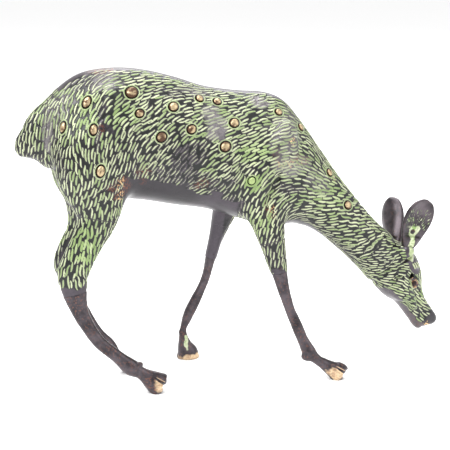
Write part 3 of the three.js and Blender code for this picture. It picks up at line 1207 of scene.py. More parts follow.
@dataclass(frozen=True)
class FurFinish:
    """Dark patina with pale green dry-brushed over the raised hair.

    Attributes:
        gap: Colour deep between the strokes.
        bare: Colour of the smooth dark metal.
        pale: Colour of most painted strokes.
        vivid: Colour where the paint lies thickest.
        worn: Colour where hands have rubbed it, and of the painted sheen where the light glances off the
            shoulder, hip and rump.
        copper: Colour of bare reddish places.
        gold: Colour of polished edges.
    """

    gap: Colour = paint(33, 35, 34)
    bare: Colour = paint(74, 67, 75)
    pale: Colour = paint(184, 192, 154)
    vivid: Colour = paint(136, 160, 96)
    worn: Colour = paint(124, 119, 121)
    copper: Colour = paint(96, 58, 48)
    gold: Colour = paint(220, 184, 134)

    def material(self) -> bpy.types.Material:
        """Mixes the finish.

        Returns:
            The material.
        """
        r = Recipe("fur_bronze")
        cloud = r.noise(55, 3)
        fleck = r.noise(900, 2)
        speck = r.noise(2600, 1)
        coat = r.mark("coat") + (fleck - 0.5) * 0.3 + (r.noise(330, 2) - 0.5) * 0.3
        thick = r.mark("paint") + (cloud - 0.5) * 0.45
        plain = 1 - r.mark("brush")
        brushed = (coat + (thick - 0.75) * 0.42 + r.mark("tone") * 0.06).step(0.44, 0.72)
        brushed = brushed * r.mark("brush")
        metal = r.mix((coat + cloud * 0.3 + plain * 0.6).step(0.2, 1.0), self.gap, self.bare)
        shadow = r.noise(22, 3).step(0.42, 0.62)
        metal = r.mix(plain * shadow * 0.55, metal, self.gap)
        # Rubbed places, and a painted sheen from the light, lift the metal toward a pale grey.
        metal = r.mix(r.mark("worn") * (0.6 + 0.4 * fleck.step(0.3, 0.7)), metal, self.worn)
        metal = r.mix(r.mark("copper") * fleck.step(0.45, 0.6), metal, self.copper)
        metal = r.mix(r.mark("gold") * fleck.step(0.52, 0.64), metal, self.gold)
        green = r.mix((r.mark("tone") * 0.45 + thick - 0.35).step(0.0, 1.1), self.pale, self.vivid)
        green = r.mix((r.mark("tone") * 0.3 + fleck).step(0.2, 0.8) * 0.3, green, self.bare, "MULTIPLY")
        shade = brushed * (1 - 0.6 * r.mark("worn"))
        colour = r.mix(shade * 0.94, metal, green)
        roughness = 0.38 + 0.14 * shade + (cloud - 0.5) * 0.14
        metallic = 0.8 - 0.5 * shade
        return r.finish(colour, roughness, metallic, coat + speck * 0.25, 0.00012, 0.3)


@dataclass(frozen=True)
class DarkFinish:
    """Smooth dark patina with golden edges where it is polished.

    Attributes:
        name: Name of the material.
        deep: Colour of the low places.
        light: Colour of the high places.
        copper: Colour of bare reddish places.
        gold: Colour of polished edges.
        green: Colour of thin paint.
        pale: Colour of thick paint.
    """

    name: str = "dark_bronze"
    deep: Colour = paint(40, 36, 40)
    light: Colour = paint(84, 76, 81)
    copper: Colour = paint(130, 84, 66)
    gold: Colour = paint(206, 180, 146)
    green: Colour = paint(122, 150, 84)
    pale: Colour = paint(190, 196, 164)

    def material(self) -> bpy.types.Material:
        """Mixes the finish.

        Returns:
            The material.
        """
        r = Recipe(self.name)
        cloud = r.noise(90, 4, 0.6)
        fleck = r.noise(700, 3)
        speck = r.noise(2400, 1)
        metal = r.mix(cloud.step(0.3, 0.75), self.deep, self.light)
        metal = r.mix(r.mark("copper") * fleck.step(0.52, 0.66) * 0.7, metal, self.copper)
        painted = (r.mark("coat") + (fleck - 0.5) * 0.9).step(0.42, 0.7) * r.mark("brush")
        green = r.mix((r.mark("tone") * 0.3 + fleck).step(0.2, 0.65), self.green, self.pale)
        metal = r.mix(painted, metal, green)
        polish = (r.mark("gold") + (fleck - 0.5) * 0.4).step(0.25, 0.85)
        gold = r.mix(fleck.step(0.42, 0.72) * 0.65, self.gold, self.copper)
        colour = r.mix(polish, metal, gold)
        roughness = 0.36 + (cloud - 0.5) * 0.2 + 0.1 * painted - 0.06 * polish
        metallic = 0.85 - 0.45 * painted
        return r.finish(colour, roughness, metallic, fleck * 0.6 + speck * 0.4, 0.00006, 0.3)


@dataclass(frozen=True)
class RubbedFinish:
    """Bright cast metal, rubbed on the high places and stained in the low ones.

    Attributes:
        name: Name of the material.
        bright: Colour of the rubbed metal.
        stain: Colour of the low places.
        roughness: Roughness of the rubbed metal.
        moss: Colour of paint over it.
    """

    name: str
    bright: Colour
    stain: Colour
    roughness: float = 0.3
    moss: Colour = paint(150, 172, 116)

    def material(self) -> bpy.types.Material:
        """Mixes the finish.

        Returns:
            The material.
        """
        r = Recipe(self.name)
        cloud = r.noise(420, 3, 0.6)
        fleck = r.noise(1500, 2)
        dirt = (cloud * 0.7 + fleck * 0.3 + r.mark("dirt") * 0.5).step(0.42, 0.78)
        colour = r.mix(dirt, self.bright, self.stain)
        moss = (r.mark("moss") + (fleck - 0.5) * 0.6).step(0.3, 0.7)
        colour = r.mix(moss * 0.85, colour, self.moss)
        roughness = self.roughness + 0.25 * dirt + 0.2 * moss + (fleck - 0.5) * 0.12
        return r.finish(colour, roughness, 0.95 - 0.25 * dirt, fleck, 0.00008)


@dataclass(frozen=True)
class FloorFinish:
    """Plain pale floor."""

    colour: Colour = (0.92, 0.92, 0.92)

    def material(self) -> bpy.types.Material:
        """Mixes the finish.

        Returns:
            The material.
        """
        r = Recipe("floor")
        grey = r.mix(r.noise(6, 2) * 0.05, self.colour, (0.85, 0.85, 0.85))
        return r.finish(grey, 0.7, 0.0, r.noise(300, 1), 0.00002)


class Palette:
    """Every finish, mixed once."""

    def __init__(self) -> None:
        """Mixes the finishes."""
        self.fur = FurFinish().material()
        self.dark = DarkFinish().material()
        self.spot = RubbedFinish("spot_brass", paint(178, 159, 126), paint(78, 56, 42)).material()
        self.eye = RubbedFinish("eye_copper", paint(128, 92, 66), paint(40, 30, 28), 0.2).material()
        self.pin = RubbedFinish("pin_bronze", paint(92, 82, 84), paint(40, 34, 38), 0.4).material()
        self.dowel = RubbedFinish("dowel_brass", paint(178, 150, 88), paint(110, 88, 52), 0.35).material()


# Sub-assemblies.


@dataclass(frozen=True)
class DowelSet:
    """Dowels that line up the two body halves, and the bosses that hold them.

    Attributes:
        radius: Radius of a dowel.
        half_length: Half its length.
        boss: Radius of a boss.
        boss_half_length: Half the length of a boss.
        chamfer: Size of the bevels at the ends of a dowel.
        places: Station of the torso and edge (1 back, -1 belly) of each.
    """

    radius: float = 1.8
    half_length: float = 5.0
    boss: float = 4.0
    boss_half_length: float = 7.0
    chamfer: float = 0.4
    places: dict[str, tuple[float, int]] = field(
        default_factory=lambda: {
            "dowel_rump": (4, 1), "dowel_back": (8.5, 1), "dowel_belly": (5.5, -1), "dowel_chest": (9.5, -1),
        }
    )

    def middle(self, name: str) -> Array:
        """Middle of a dowel."""
        s = Sections.leaning(TORSO, self.places[name][0])
        return s.middle[0] + s.up[0] * self.places[name][1] * (s.deep[0] - WALL - self.boss / 2)

    def across(self, name: str, half_length: float, radius: float) -> Skin:
        """A bar across the body through a dowel's middle."""
        reach, middle = SIDEWAYS * half_length, self.middle(name)
        return rod(middle - reach, middle + reach, radius)

    def build(self, palette: Palette) -> None:
        """Makes the dowels.

        Args:
            palette: The finishes.
        """
        end, edge = self.half_length, self.radius - self.chamfer
        profile = [
            (edge, -end), (self.radius, -end + self.chamfer), (self.radius, 0),
            (self.radius, end - self.chamfer), (edge, end),
        ]
        for name in self.places:
            dowel = Piece(name + "_turned", lathe(profile, self.middle(name), SIDEWAYS))
            dowel.place(Slot.DOWEL, palette.dowel, name, sharp=30)


@dataclass(frozen=True)
class Tenon:
    """A round tenon on the piece below a cut."""

    radius: float
    length: float


@dataclass(frozen=True)
class PinShape:
    """A cross pin: its radius, its head's, how deep its end sits, and the height of its dome."""

    radius: float
    head: float
    sink: float
    dome: float = 0.7

    def skin(self, end: Array, axis: Array, length: float) -> Skin:
        """The pin, from its outer end inward along an axis that points out.

        Args:
            end: Middle of the outer end.
            axis: The way out.
            length: Length of the pin.

        Returns:
            The closed skin.
        """
        radius, head, dome = self.radius, self.head, self.dome
        profile = [(radius * 0.6, -length), (radius, -length + 0.3), (radius, -dome)]
        if head > radius:
            profile.append((head, -dome))
        profile += [(head, -dome * 0.62), (head * 0.9, -dome * 0.36), (head * 0.6, -dome * 0.1), (0.02, 0)]
        return lathe(profile, end, axis)


class LegJoint:
    """A cut across a leg, with a tenon below it, a socket above it and a pin through both."""

    def __init__(self, path: Array, station: float, tenon: Tenon, pin: PinShape, side: Side) -> None:
        """Works out the joint from the leg's path.

        Args:
            path: The leg's table.
            station: Station of the cut.
            tenon: The tenon below it.
            pin: The pin through it.
            side: Side of the animal.
        """
        s = Sections.square(path, station)
        self.middle, self.forward, self.across = s.middle[0], s.forward[0], s.side[0]
        self.tenon, self.pin = tenon, pin
        self.reach = Sections.square(path, station - 0.3).wide[0] - pin.sink
        self.out = self.across * side.value
        self.pin_middle = self.middle - self.forward * tenon.length / 2

    def bar(self, above: float, below: float, growth: float = 0.0) -> Skin:
        """A bar as thick as the tenon, reaching above and below the cut.

        Args:
            above: Reach above the cut.
            below: Reach below it.
            growth: How much thicker it is.

        Returns:
            The closed skin.
        """
        start, end = self.middle - self.forward * above, self.middle + self.forward * below
        return rod(start, end, self.tenon.radius + growth)

    def pin_skin(self, growth: float = 0.0) -> Skin:
        """The pin, or the hole it lies in where there is a growth.

        Args:
            growth: How much larger it is all round.

        Returns:
            The closed skin.
        """
        pin = self.pin
        grown = PinShape(pin.radius + growth, pin.head + growth, pin.sink, pin.dome + growth)
        end = self.pin_middle + self.out * (self.reach + growth)
        return grown.skin(end, self.out, 2 * self.reach + 2 * growth)


@dataclass(frozen=True)
class LegPlan:
    """One leg: its path, the places of its joints and how they are made."""

    name: str
    path: Array
    side: Side
    knee: float
    hip_tenon: Tenon
    knee_tenon: Tenon
    knee_pin: PinShape
    hip: float = 3.0
    hip_pin: PinShape = PinShape(1.2, 1.2, 0.6)

    @cached_property
    def hip_joint(self) -> LegJoint:
        """The joint at the body."""
        return LegJoint(self.path, self.hip, self.hip_tenon, self.hip_pin, self.side)

    @cached_property
    def knee_joint(self) -> LegJoint:
        """The joint at the knee or hock."""
        return LegJoint(self.path, self.knee, self.knee_tenon, self.knee_pin, self.side)

    def node(self, part: str) -> str:
        """Name of the CAD node of a part of the leg."""
        pair, side = self.name.split("_")
        return f"{pair}_leg_{part}_{side}"


HIND = {"hip_tenon": Tenon(5, 11), "knee_tenon": Tenon(2.6, 8), "knee_pin": PinShape(0.8, 0.8, 0.5)}
FORE = {"hip_tenon": Tenon(3, 9), "knee_tenon": Tenon(1.9, 7), "knee_pin": PinShape(0.8, 1.5, -0.4)}
LEGS = (
    LegPlan("hind_right", HIND_RIGHT, Side.RIGHT, 7.3, **HIND),
    LegPlan("hind_left", HIND_LEFT, Side.LEFT, 7.3, **HIND),
    LegPlan("fore_right", FORE_RIGHT, Side.RIGHT, 5, **FORE),
    LegPlan("fore_left", FORE_LEFT, Side.LEFT, 5, **FORE),
)

# How the hair lies on the side of the body and upper legs: x, z and slope in degrees.
BODY_HINTS = np.array([
    [-137, 172, 88], [-128, 182, 72], [-117, 196, 58], [-104, 203, 42], [-104, 186, 72],
    [-114, 160, 102], [-103, 140, 84], [-88, 128, 72], [-122, 150, 78], [-112, 172, 86],
    [-87, 181, 50], [-87, 165, 66], [-67, 196, 20], [-70, 184, 30], [-56, 163, 38],
    [-53, 141, 54], [-72, 142, 74], [-30, 186, 12], [-36, 160, 40], [-30, 140, 42],
    [-12, 178, 8], [-12, 160, 30], [-8, 138, 48], [5, 176, 28], [10, 165, 32],
    [9, 152, 8], [25, 168, -4], [26, 150, -2], [12, 136, 62], [26, 133, 8],
    [38, 141, -24], [45, 138, 112], [42, 124, -12], [28, 118, 34], [15, 108, 68],
    [20, 88, 76], [1, 118, 72], [-4, 96, 80], [55, 119, 4], [62, 126, -20],
    [70, 104, 8], [83, 90, 12], [96, 80, 0], [-104, 108, 84], [-106, 92, 78],
    [-111, 76, 90], [-95, 118, 80],
], float)

# Places on the sides where hands have rubbed the paint, and where a painted sheen lightens the shoulder, the
# hip and the rump.
WEAR_AND_SHEEN = (
    Patch(-88, 198, 10, 5, 12, 0.55), Patch(-124, 168, 4, 10, 0, 0.8), Patch(-21, 172, 7, 12, 8, 0.85),
    Patch(11, 182, 7, 3, -8, 0.9), Patch(26, 163, 13, 15, -10, 0.55), Patch(28, 143, 15, 7, 0, 0.65),
    Patch(-117, 182, 7, 15, -28, 0.35), Patch(50, 128, 12, 7, -42, 0.4),
    Patch(-29, 190, 12, 3, -12, 0.5), Patch(34, 172, 9, 3, -45, 0.5),
)

# Places that were never chased.
BARE = (
    Patch(-87, 197, 8, 3, 14, 0.45), Patch(-17, 163, 2.5, 7, 0, 0.8),
    Patch(-88, 171, 3, 6, 60, 0.7), Patch(12, 128, 2.2, 8, 0, 0.6),
)

# Where the paint lies thicker than usual, and where it lies thinner.
VIVID = (
    Patch(4, 152, 12, 7, 0, 0.5), Patch(-96, 180, 12, 12, 0, 0.15), Patch(101, 62, 12, 12, 0, 0.5),
    Patch(-104, 96, 10, 16, 0, 0.45), Patch(3, 133, 6, 6, 0, 0.5), Patch(-80, 178, 10, 8, 30, 0.25),
    Patch(28, 160, 24, 30, 0, 0.14), Patch(55, 122, 14, 10, -40, 0.3), Patch(12, 104, 8, 14, 70, 0.25),
)
SPARSE = (
    Patch(-84, 134, 6.5, 6.5, 0, 0.5), Patch(20, 92, 12, 18, 0, 0.28), Patch(-60, 150, 28, 18, 0, 0.22),
    Patch(-40, 151, 14, 10, 0, 0.7), Patch(-72, 140, 6, 14, 0, 0.45), Patch(-93, 176, 2.4, 14, -14, 0.8),
    Patch(-36, 137, 30, 7, -12, 0.5), Patch(-9, 118, 10, 9, 0, 0.5), Patch(-97, 200, 14, 4, 25, 0.5),
    Patch(-62, 165, 30, 18, 0, 0.16), Patch(28, 128, 10, 4, -8, 0.5), Patch(-118, 150, 4, 12, 10, 0.4),
    Patch(-45, 190, 18, 3, -8, 0.4),
)

# Bare reddish places.
COPPER = (
    Patch(-83, 134, 6.5, 6.5, 0, 1), Patch(15, 113, 3, 7, 20, 1), Patch(-30, 134, 5, 4, 0, 0.8),
    Patch(-67, 142, 4, 6, 0, 0.8), Patch(-88, 206, 10, 3, 10, 0.9), Patch(36, 146, 8, 3, -15, 0.6),
    Patch(-94, 171, 3, 4, 0, 0.7), Patch(18, 150, 2, 9, 0, 0.5),
)

# Where studs are painted over in green, and where they are stained.
MOSSY = (
    Patch(3.6, 133, 5, 5, 0, 0.9), Patch(21, 178.4, 5, 5, 0, 0.8), Patch(35.5, 168.5, 5, 5, 0, 0.6),
    Patch(-19.5, 188.5, 5, 5, 0, 0.6), Patch(55.5, 137.5, 5, 5, 0, 0.3), Patch(68, 115, 5, 5, 0, 0.35),
)
DULL = (
    Patch(-68.5, 179.4, 4, 4, 0, 0.6), Patch(-54, 165.6, 4, 4, 0, 0.4), Patch(-87, 169.5, 4, 4, 0, 0.3),
    Patch(-75, 193.8, 5, 5, 0, 0.25),
)

# Polished edges.
GOLD = (
    Patch(30, 158, 3, 3, 0, 0.9), Patch(28, 144, 9, 2.5, 0, 0.45), Patch(-82, 133, 2.5, 7, 0, 0.7),
    Patch(17, 112, 2, 5, 0, 0.6), Patch(62, 131, 5, 3, -60, 0.5),
)


@dataclass
class Surface:
    """A casting's skin with the numbers its finish reads."""

    skin: Skin
    marks: dict[str, Array]

    RING_HEIGHT = 0.5
    DENT_DEPTH = 0.3

    @classmethod
    def smooth(cls, skin: Skin) -> "Surface":
        """A skin with every mark at nought."""
        names = ("coat", "tone", "paint", "brush", "worn", "copper", "gold")
        return cls(skin, {name: np.zeros(len(skin.points)) for name in names})

    def chase(self, coat: Coat, room: Array, rosettes: Iterable[Rosette] = ()) -> "Surface":
        """Chases the coat and the rings round the spots into the surface.

        Args:
            coat: The strokes.
            room: Where they may lie, from 0 to 1.
            rosettes: Rings round spots, which strokes keep clear of.

        Returns:
            This surface, with its points moved and its marks set.
        """
        points, normals = self.skin.points, point_normals(self.skin)
        ring, dent = np.zeros(len(points)), np.zeros(len(points))
        room = room.copy()
        for rosette in rosettes:
            away = rosette.distance(points)
            room *= ease(1.4, 2.1, away)
            ring = np.maximum(ring, np.exp(-(((away - 1.15) / 0.5) ** 2)))
            dent = np.maximum(dent, ease(0.75, 0.35, away))
        fur, tone = coat.chase(points, normals, room)
        fur *= ease(0.1, 0.5, room)
        lift = coat.relief * (ease(0.2, 0.9, fur) - 0.4) * ease(0.1, 0.6, room)
        lift = lift + self.RING_HEIGHT * ring - self.DENT_DEPTH * dent
        self.skin = Skin(points + normals * lift[:, None], self.skin.faces)
        self.marks["coat"] = np.maximum(fur, ring)
        self.marks["tone"] = np.where(ring > 0.3, 0.3, tone)
        return self


@dataclass
class Carcass:
    """The torso, neck and upper legs, modelled as one and parted into their castings.

    Attributes:
        palette: Finishes.
        voxel: Fineness of the model.
        fillet: Size of the fillets between legs and body.
        softness: How far edges are rounded.
        dowels: Dowels between the halves.
    """

    palette: Palette
    voxel: float
    fillet: float = 7.0
    softness: float = 1.2
    dowels: DowelSet = DowelSet()

    LEG_BLOCK = (56, 80)  # breadth and depth of the box that parts a leg from the body
    KNEE_BLOCK = (60, 80)
    CRISP = 75  # angle from which an edge of a chased piece stays crisp

    def model(self) -> Field:
        """Builds up the body in soft forms.

        Returns:
            The body, upper legs, tail and neck in one.
        """
        grid = Grid((-146, -40, 54), (116, 40, 212), self.voxel)
        stations = np.linspace(0, len(TORSO) - 1, 170)
        body = Field.inside(grid, Sections.leaning(TORSO, stations).skin(96, 0, BACK_NARROWING))
        for leg in LEGS:
            path = Sections.square(leg.path, np.linspace(0, leg.knee + 1.5, 90))
            body.join(Field.inside(grid, path.skin(64)), self.fillet)
        tail = Sections.leaning(TAIL, np.linspace(0, len(TAIL) - 1, 60))
        for skin in (tail.skin(48, 0, BACK_NARROWING), skull()):
            body.join(Field.inside(grid, skin), 5)
        self._sculpt(body)
        return body.blur(self.softness)

    @staticmethod
    def _sculpt(body: Field) -> None:
        """Adds the muscles and bones that show, and the hollows between them.

        Args:
            body: The plain body.
        """
        lean = unit(np.array([[0.35, 0, 0.94], [0, 1, 0], [0.94, 0, -0.35]]))
        tall = unit(np.array([[0.1, 0, 0.99], [0, 1, 0], [0.99, 0, -0.1]]))
        body.lump(np.array([-119.5, 0, 152.0]), tall, (8.5, 8, 9), 4)
        forms = (
            ((22, 20, 150), lean, (21, 6.5, 9), 6, 1),
            ((38, 14, 129), lean, (9, 6, 8), 5, 1),
            ((4, 16, 121), lean, (10, 6, 6), 5, 1),
            ((-102.5, 18, 149.5), tall, (24, 10.5, 14), 8, 1),
            ((-86, 17, 188), lean, (8, 6, 7), 5, 1),
            ((-71, 31, 146), tall, (17, 3.6, 4), 5, -1),
            ((-94, 28, 180), tall, (12, 1.7, 2.2), 4, -1),
            ((-2, 29.5, 140), lean, (17, 2.6, 3.5), 5, -1),
            ((17, 25, 128), lean, (12, 1.8, 2.5), 3, -1),
        )
        for side in Side:
            for (x, y, z), axes, radii, blend, sign in forms:
                body.lump(np.array([x, side.value * y, z], float), axes, radii, blend, sign)

    def room(self, points: Array, normals: Array) -> Array:
        """Where the coat lies: not on the spine, the belly or the rubbed places.

        Args:
            points: Surface points.
            normals: Their normals.

        Returns:
            Room for the coat, from 0 to 1.
        """
        x, y, z = points.T
        spine = ease(6.5, 3.5, abs(y) + 1.2 * grain(points, 5, 23)) * ease(0.2, 0.5, normals[:, 2])
        spine *= ease(46, 36, x) * ease(-121, -112, x)
        edge = 139 - (x + 73) * 0.24 + 3.4 * grain(points, 4, 3) + 2.0 * grain(points, 14, 13)
        belly = ease(2, -2, z - edge) * ease(-86, -76, x) * ease(2, -8, x)
        throat = ease(-0.66, -0.86, normals[:, 2]) * ease(8, 24, x)
        inner = ease(0.5, 0.85, -normals[:, 1] * np.sign(y)) * ease(128, 118, z) * 0.7
        ragged = 3.0 * grain(points, 3.5, 21)
        hind_tongue = ease(68, 73, z + ragged - 3 * ease(0.2, 0.9, abs(normals[:, 1])))
        fore_tongue = ease(72, 76, z + ragged)
        ends = np.where(x < -50, hind_tongue, np.where(x < 60, fore_tongue, 1))
        bare = np.max([spine, belly, throat, inner, cover(BARE, points)], axis=0)
        return (1 - bare) * ends

    def rosettes(self, points: Array, normals: Array) -> dict[str, Rosette]:
        """The ring round every spot, by the name of its stud.

        Args:
            points: Surface points.
            normals: Their normals.

        Returns:
            The rings, by name.
        """
        tree = kd_tree(points)
        lie = Lie(BODY_HINTS)
        found = {}
        for name in sorted(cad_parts):
            if not name.startswith("spot_stud"):
                continue
            low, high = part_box(name)
            _, index, _ = tree.find(to_casting((low + high) / 2).tolist())
            middle, normal = points[index], normals[index]
            hair = lie(middle[None])[0]
            along = unit(hair - normal * (hair @ normal))
            radius = max(high.x - low.x, high.z - low.z) / MM / 2
            stretch = 1.06 + 0.22 * float(ease(-88, -104, middle[0]))
            found[name] = Rosette(middle, radius, along, np.cross(normal, along), stretch)
        return found

    def surface(self, shape: Field) -> tuple[Surface, dict[str, Rosette]]:
        """The body's skin with its coat and marks, and the rings of its spots.

        Args:
            shape: The modelled body.

        Returns:
            The surface, and the rings by the names of their studs.
        """
        skin = shape.skin()
        points, normals = skin.points, point_normals(skin)
        rosettes = self.rosettes(points, normals)
        made = Surface.smooth(skin)
        coat = Coat(Lie(BODY_HINTS), seed=7)
        room = self.room(points, normals)
        made.chase(coat, room, rosettes.values())
        x, y, z = points.T
        inward = ease(0.1, 0.7, -normals[:, 1] * np.sign(y)) * ease(135, 120, z)
        under = ease(-0.3, -0.7, normals[:, 2])
        thick = 0.78 + cover(VIVID, points) - cover(SPARSE, points) + 0.1 * grain(points, 24, 9)
        marks = made.marks
        marks["paint"] = thick - 0.35 * inward - 0.3 * under - 0.2 * ease(-128, -138, x)
        marks["brush"] = ease(0.1, 0.5, np.maximum(room, marks["coat"]))
        # Rubbed places, and the painted sheen on the shoulder, hip and rump.
        marks["worn"] = np.clip(cover(WEAR_AND_SHEEN, points), 0, 1)
        marks["copper"], marks["gold"] = cover(COPPER, points), cover(GOLD, points)
        return made, rosettes

    def build(self) -> dict[str, Rosette]:
        """Makes the two body halves, the four upper legs and the tail.

        Returns:
            The rings of the spots, by the names of their studs.
        """
        made, rosettes = self.surface(self.model())
        master = Piece("master", made.skin, made.marks)
        core = self.core()
        for side in Side:
            self.shell(master, core, side, rosettes)
        for leg in LEGS:
            self.upper_leg(master, leg)
        self.tail(master)
        master.scrap()
        core.scrap()
        return rosettes

    def core(self) -> Piece:
        """The hollow of the body, less the bosses that stand in it.

        Returns:
            The piece that is taken out of the shell.
        """
        stations = np.linspace(CORE_FIRST, CORE_LAST, 40)
        core = Piece("core", Sections.leaning(TORSO, stations).skin(40, -WALL, BACK_NARROWING))
        for name in self.dowels.places:
            core.cut(self.dowels.across(name, self.dowels.boss_half_length, self.dowels.boss))
        return core

    def shell(self, master: Piece, core: Piece, side: Side, rosettes: dict[str, Rosette]) -> None:
        """One half of the body.

        Args:
            master: The whole body.
            core: Its hollow.
            side: Which half to make.
            rosettes: The rings of the spots.
        """
        name = side.name.lower()
        away = SIDEWAYS * side.value
        half = master.copy(f"body_half_{name}").cut(block(away * SEAM / 2, away), Cut.KEEP)
        neck = NeckJoint()
        half.cut(block(neck.middle, neck.forward))
        half.cut(block(TailJoint.middle, TailJoint.backward))
        cutter = core.copy("cutter")
        tools = [neck.bar(SEAM, SEAM), neck.pin(SEAM), TailJoint().bar(SEAM)]
        for leg in LEGS:
            if leg.side is side:
                joint = leg.hip_joint
                half.cut(block(joint.middle, joint.forward, *self.LEG_BLOCK))
                tools += [joint.bar(joint.tenon.length + SEAM, SEAM, SEAM), joint.pin_skin(SEAM)]
        for dowel in self.dowels.places:
            reach = self.dowels.half_length + SEAM
            tools.append(self.dowels.across(dowel, reach, self.dowels.radius + SEAM))
        for stud, ring in rosettes.items():
            if name in stud:
                normal = np.cross(ring.along, ring.across)
                tools.append(rod(ring.middle - normal * 3.4, ring.middle + normal, 1.1 + SEAM, 18))
        for tool in tools:
            cutter.cut(tool, Cut.JOIN)
        half.cut(cutter)
        cutter.scrap()
        half.place(Slot.FUR, self.palette.fur, f"body_shell_{name}", sharp=self.CRISP)

    def upper_leg(self, master: Piece, leg: LegPlan) -> None:
        """One upper leg, from the hip cut to the knee cut.

        Args:
            master: The whole body.
            leg: Which leg to make.
        """
        hip, knee = leg.hip_joint, leg.knee_joint
        part = master.copy(leg.node("upper") + "_cast")
        part.cut(block(hip.middle + hip.forward * SEAM, hip.forward, *self.LEG_BLOCK), Cut.KEEP)
        part.cut(block(SIDEWAYS * leg.side.value * 2, SIDEWAYS * leg.side.value), Cut.KEEP)
        part.cut(block(knee.middle, knee.forward, *self.KNEE_BLOCK))
        part.cut(hip.bar(hip.tenon.length, 3), Cut.JOIN)
        part.cut(hip.pin_skin(SEAM))
        part.cut(knee.bar(knee.tenon.length + SEAM, SEAM, SEAM))
        part.cut(knee.pin_skin(SEAM))
        part.place(Slot.FUR, self.palette.fur, leg.node("upper"), sharp=self.CRISP)

    def tail(self, master: Piece) -> None:
        """The short tail, seated on the rump.

        Args:
            master: The whole body.
        """
        joint = TailJoint()
        part = master.copy("tail_cast")
        part.cut(block(joint.middle + joint.backward * SEAM, joint.backward), Cut.KEEP)
        part.cut(joint.bar(), Cut.JOIN)
        part.place(Slot.FUR, self.palette.fur, "tail", sharp=self.CRISP)


class NeckJoint:
    """The cut between neck and head, with the head's tenon and the pin through it."""

    RADIUS = 6.5
    LENGTH = 12.0
    PIN_RADIUS = 1.5
    PIN_HALF_LENGTH = 11.0

    def __init__(self) -> None:
        """Works out the joint from the neck's stations."""
        s = Sections.leaning(TORSO, HEAD_CUT)
        self.middle, self.forward = s.middle[0], s.forward[0]
        self.pin_middle = self.middle - self.forward * self.LENGTH / 2

    def bar(self, extra: float = 0.0, growth: float = 0.0) -> Skin:
        """The tenon, or its socket where there is a growth."""
        start = self.middle - self.forward * (self.LENGTH + extra)
        return rod(start, self.middle + self.forward * 4, self.RADIUS + growth)

    def pin(self, growth: float = 0.0) -> Skin:
        """The pin, or the hole it lies in where there is a growth.

        Args:
            growth: How much larger it is all round.

        Returns:
            The closed skin.
        """
        shape = PinShape(self.PIN_RADIUS + growth, self.PIN_RADIUS + growth, 0, 0.5)
        reach = self.PIN_HALF_LENGTH + growth
        return shape.skin(self.pin_middle + SIDEWAYS * reach, SIDEWAYS, 2 * reach)


class TailJoint:
    """The cut between rump and tail, with the tail's tenon."""

    RADIUS = 3.5
    LENGTH = 12
    middle = np.array([-125.5, 0, 164])
    backward = unit(np.array([-1, 0, 0.14]))

    def bar(self, growth: float = 0.0) -> Skin:
        """The tenon, or its socket where there is a growth."""
        end = self.middle - self.backward * (self.LENGTH + growth)
        return rod(self.middle + self.backward * 3, end, self.RADIUS + growth)


class HeadFrame:
    """The head's own axes: along to the nose, out to the animal's left, up through the crown."""

    PLACE = np.array([119.3, 4.0, 63.7])
    PITCH = 63.0
    YAW = 12.0

    def __init__(self) -> None:
        """Works out the three axes."""
        pitch, yaw = math.radians(self.PITCH), math.radians(self.YAW)
        c, s = math.cos(yaw), math.sin(yaw)
        turn = np.array([[c, -s, 0], [s, c, 0], [0, 0, 1]])
        c, s = math.cos(pitch), math.sin(pitch)
        dip = np.array([[c, 0, s], [0, 1, 0], [-s, 0, c]])
        self.axes = (turn @ dip).T

    def at(self, along: float, out: float, up: float) -> Array:
        """A place given along the head's axes."""
        return self.PLACE + np.array([along, out, up], float) @ self.axes

    def local(self, points: Array) -> Array:
        """Points measured along the head's axes."""
        return (points - self.PLACE) @ self.axes.T


# The head: distance from its middle toward the nose, top, bottom and half width.
SKULL = np.array([
    [-19, 1, -10, 4], [-15, 4.8, -17, 9], [-5, 8.2, -24, 12], [4, 8.8, -24, 12.5],
    [11, 7.1, -21.5, 12], [18, 4.3, -17.6, 10], [27, 3.2, -15.2, 8], [35, 4.2, -13.6, 7],
    [42, 5.5, -11.5, 6.5], [46.5, 5, -7, 5], [48, 2.5, -3, 2.5],
], float)


def skull() -> Skin:
    """The plain form of the head.

    Returns:
        The closed skin.
    """
    values, _ = smooth(SKULL, np.linspace(0, len(SKULL) - 1, 120))
    own = HeadFrame()
    middle = np.array([own.at(along, 0, (top + low) / 2) for along, top, low, _ in values])
    tiled = (np.tile(own.axes[way], (len(values), 1)) for way in (1, 2, 0))
    sections = Sections(middle, *tiled, values[:, 3], (values[:, 1] - values[:, 2]) / 2)
    return sections.skin(80, 0, -0.1)


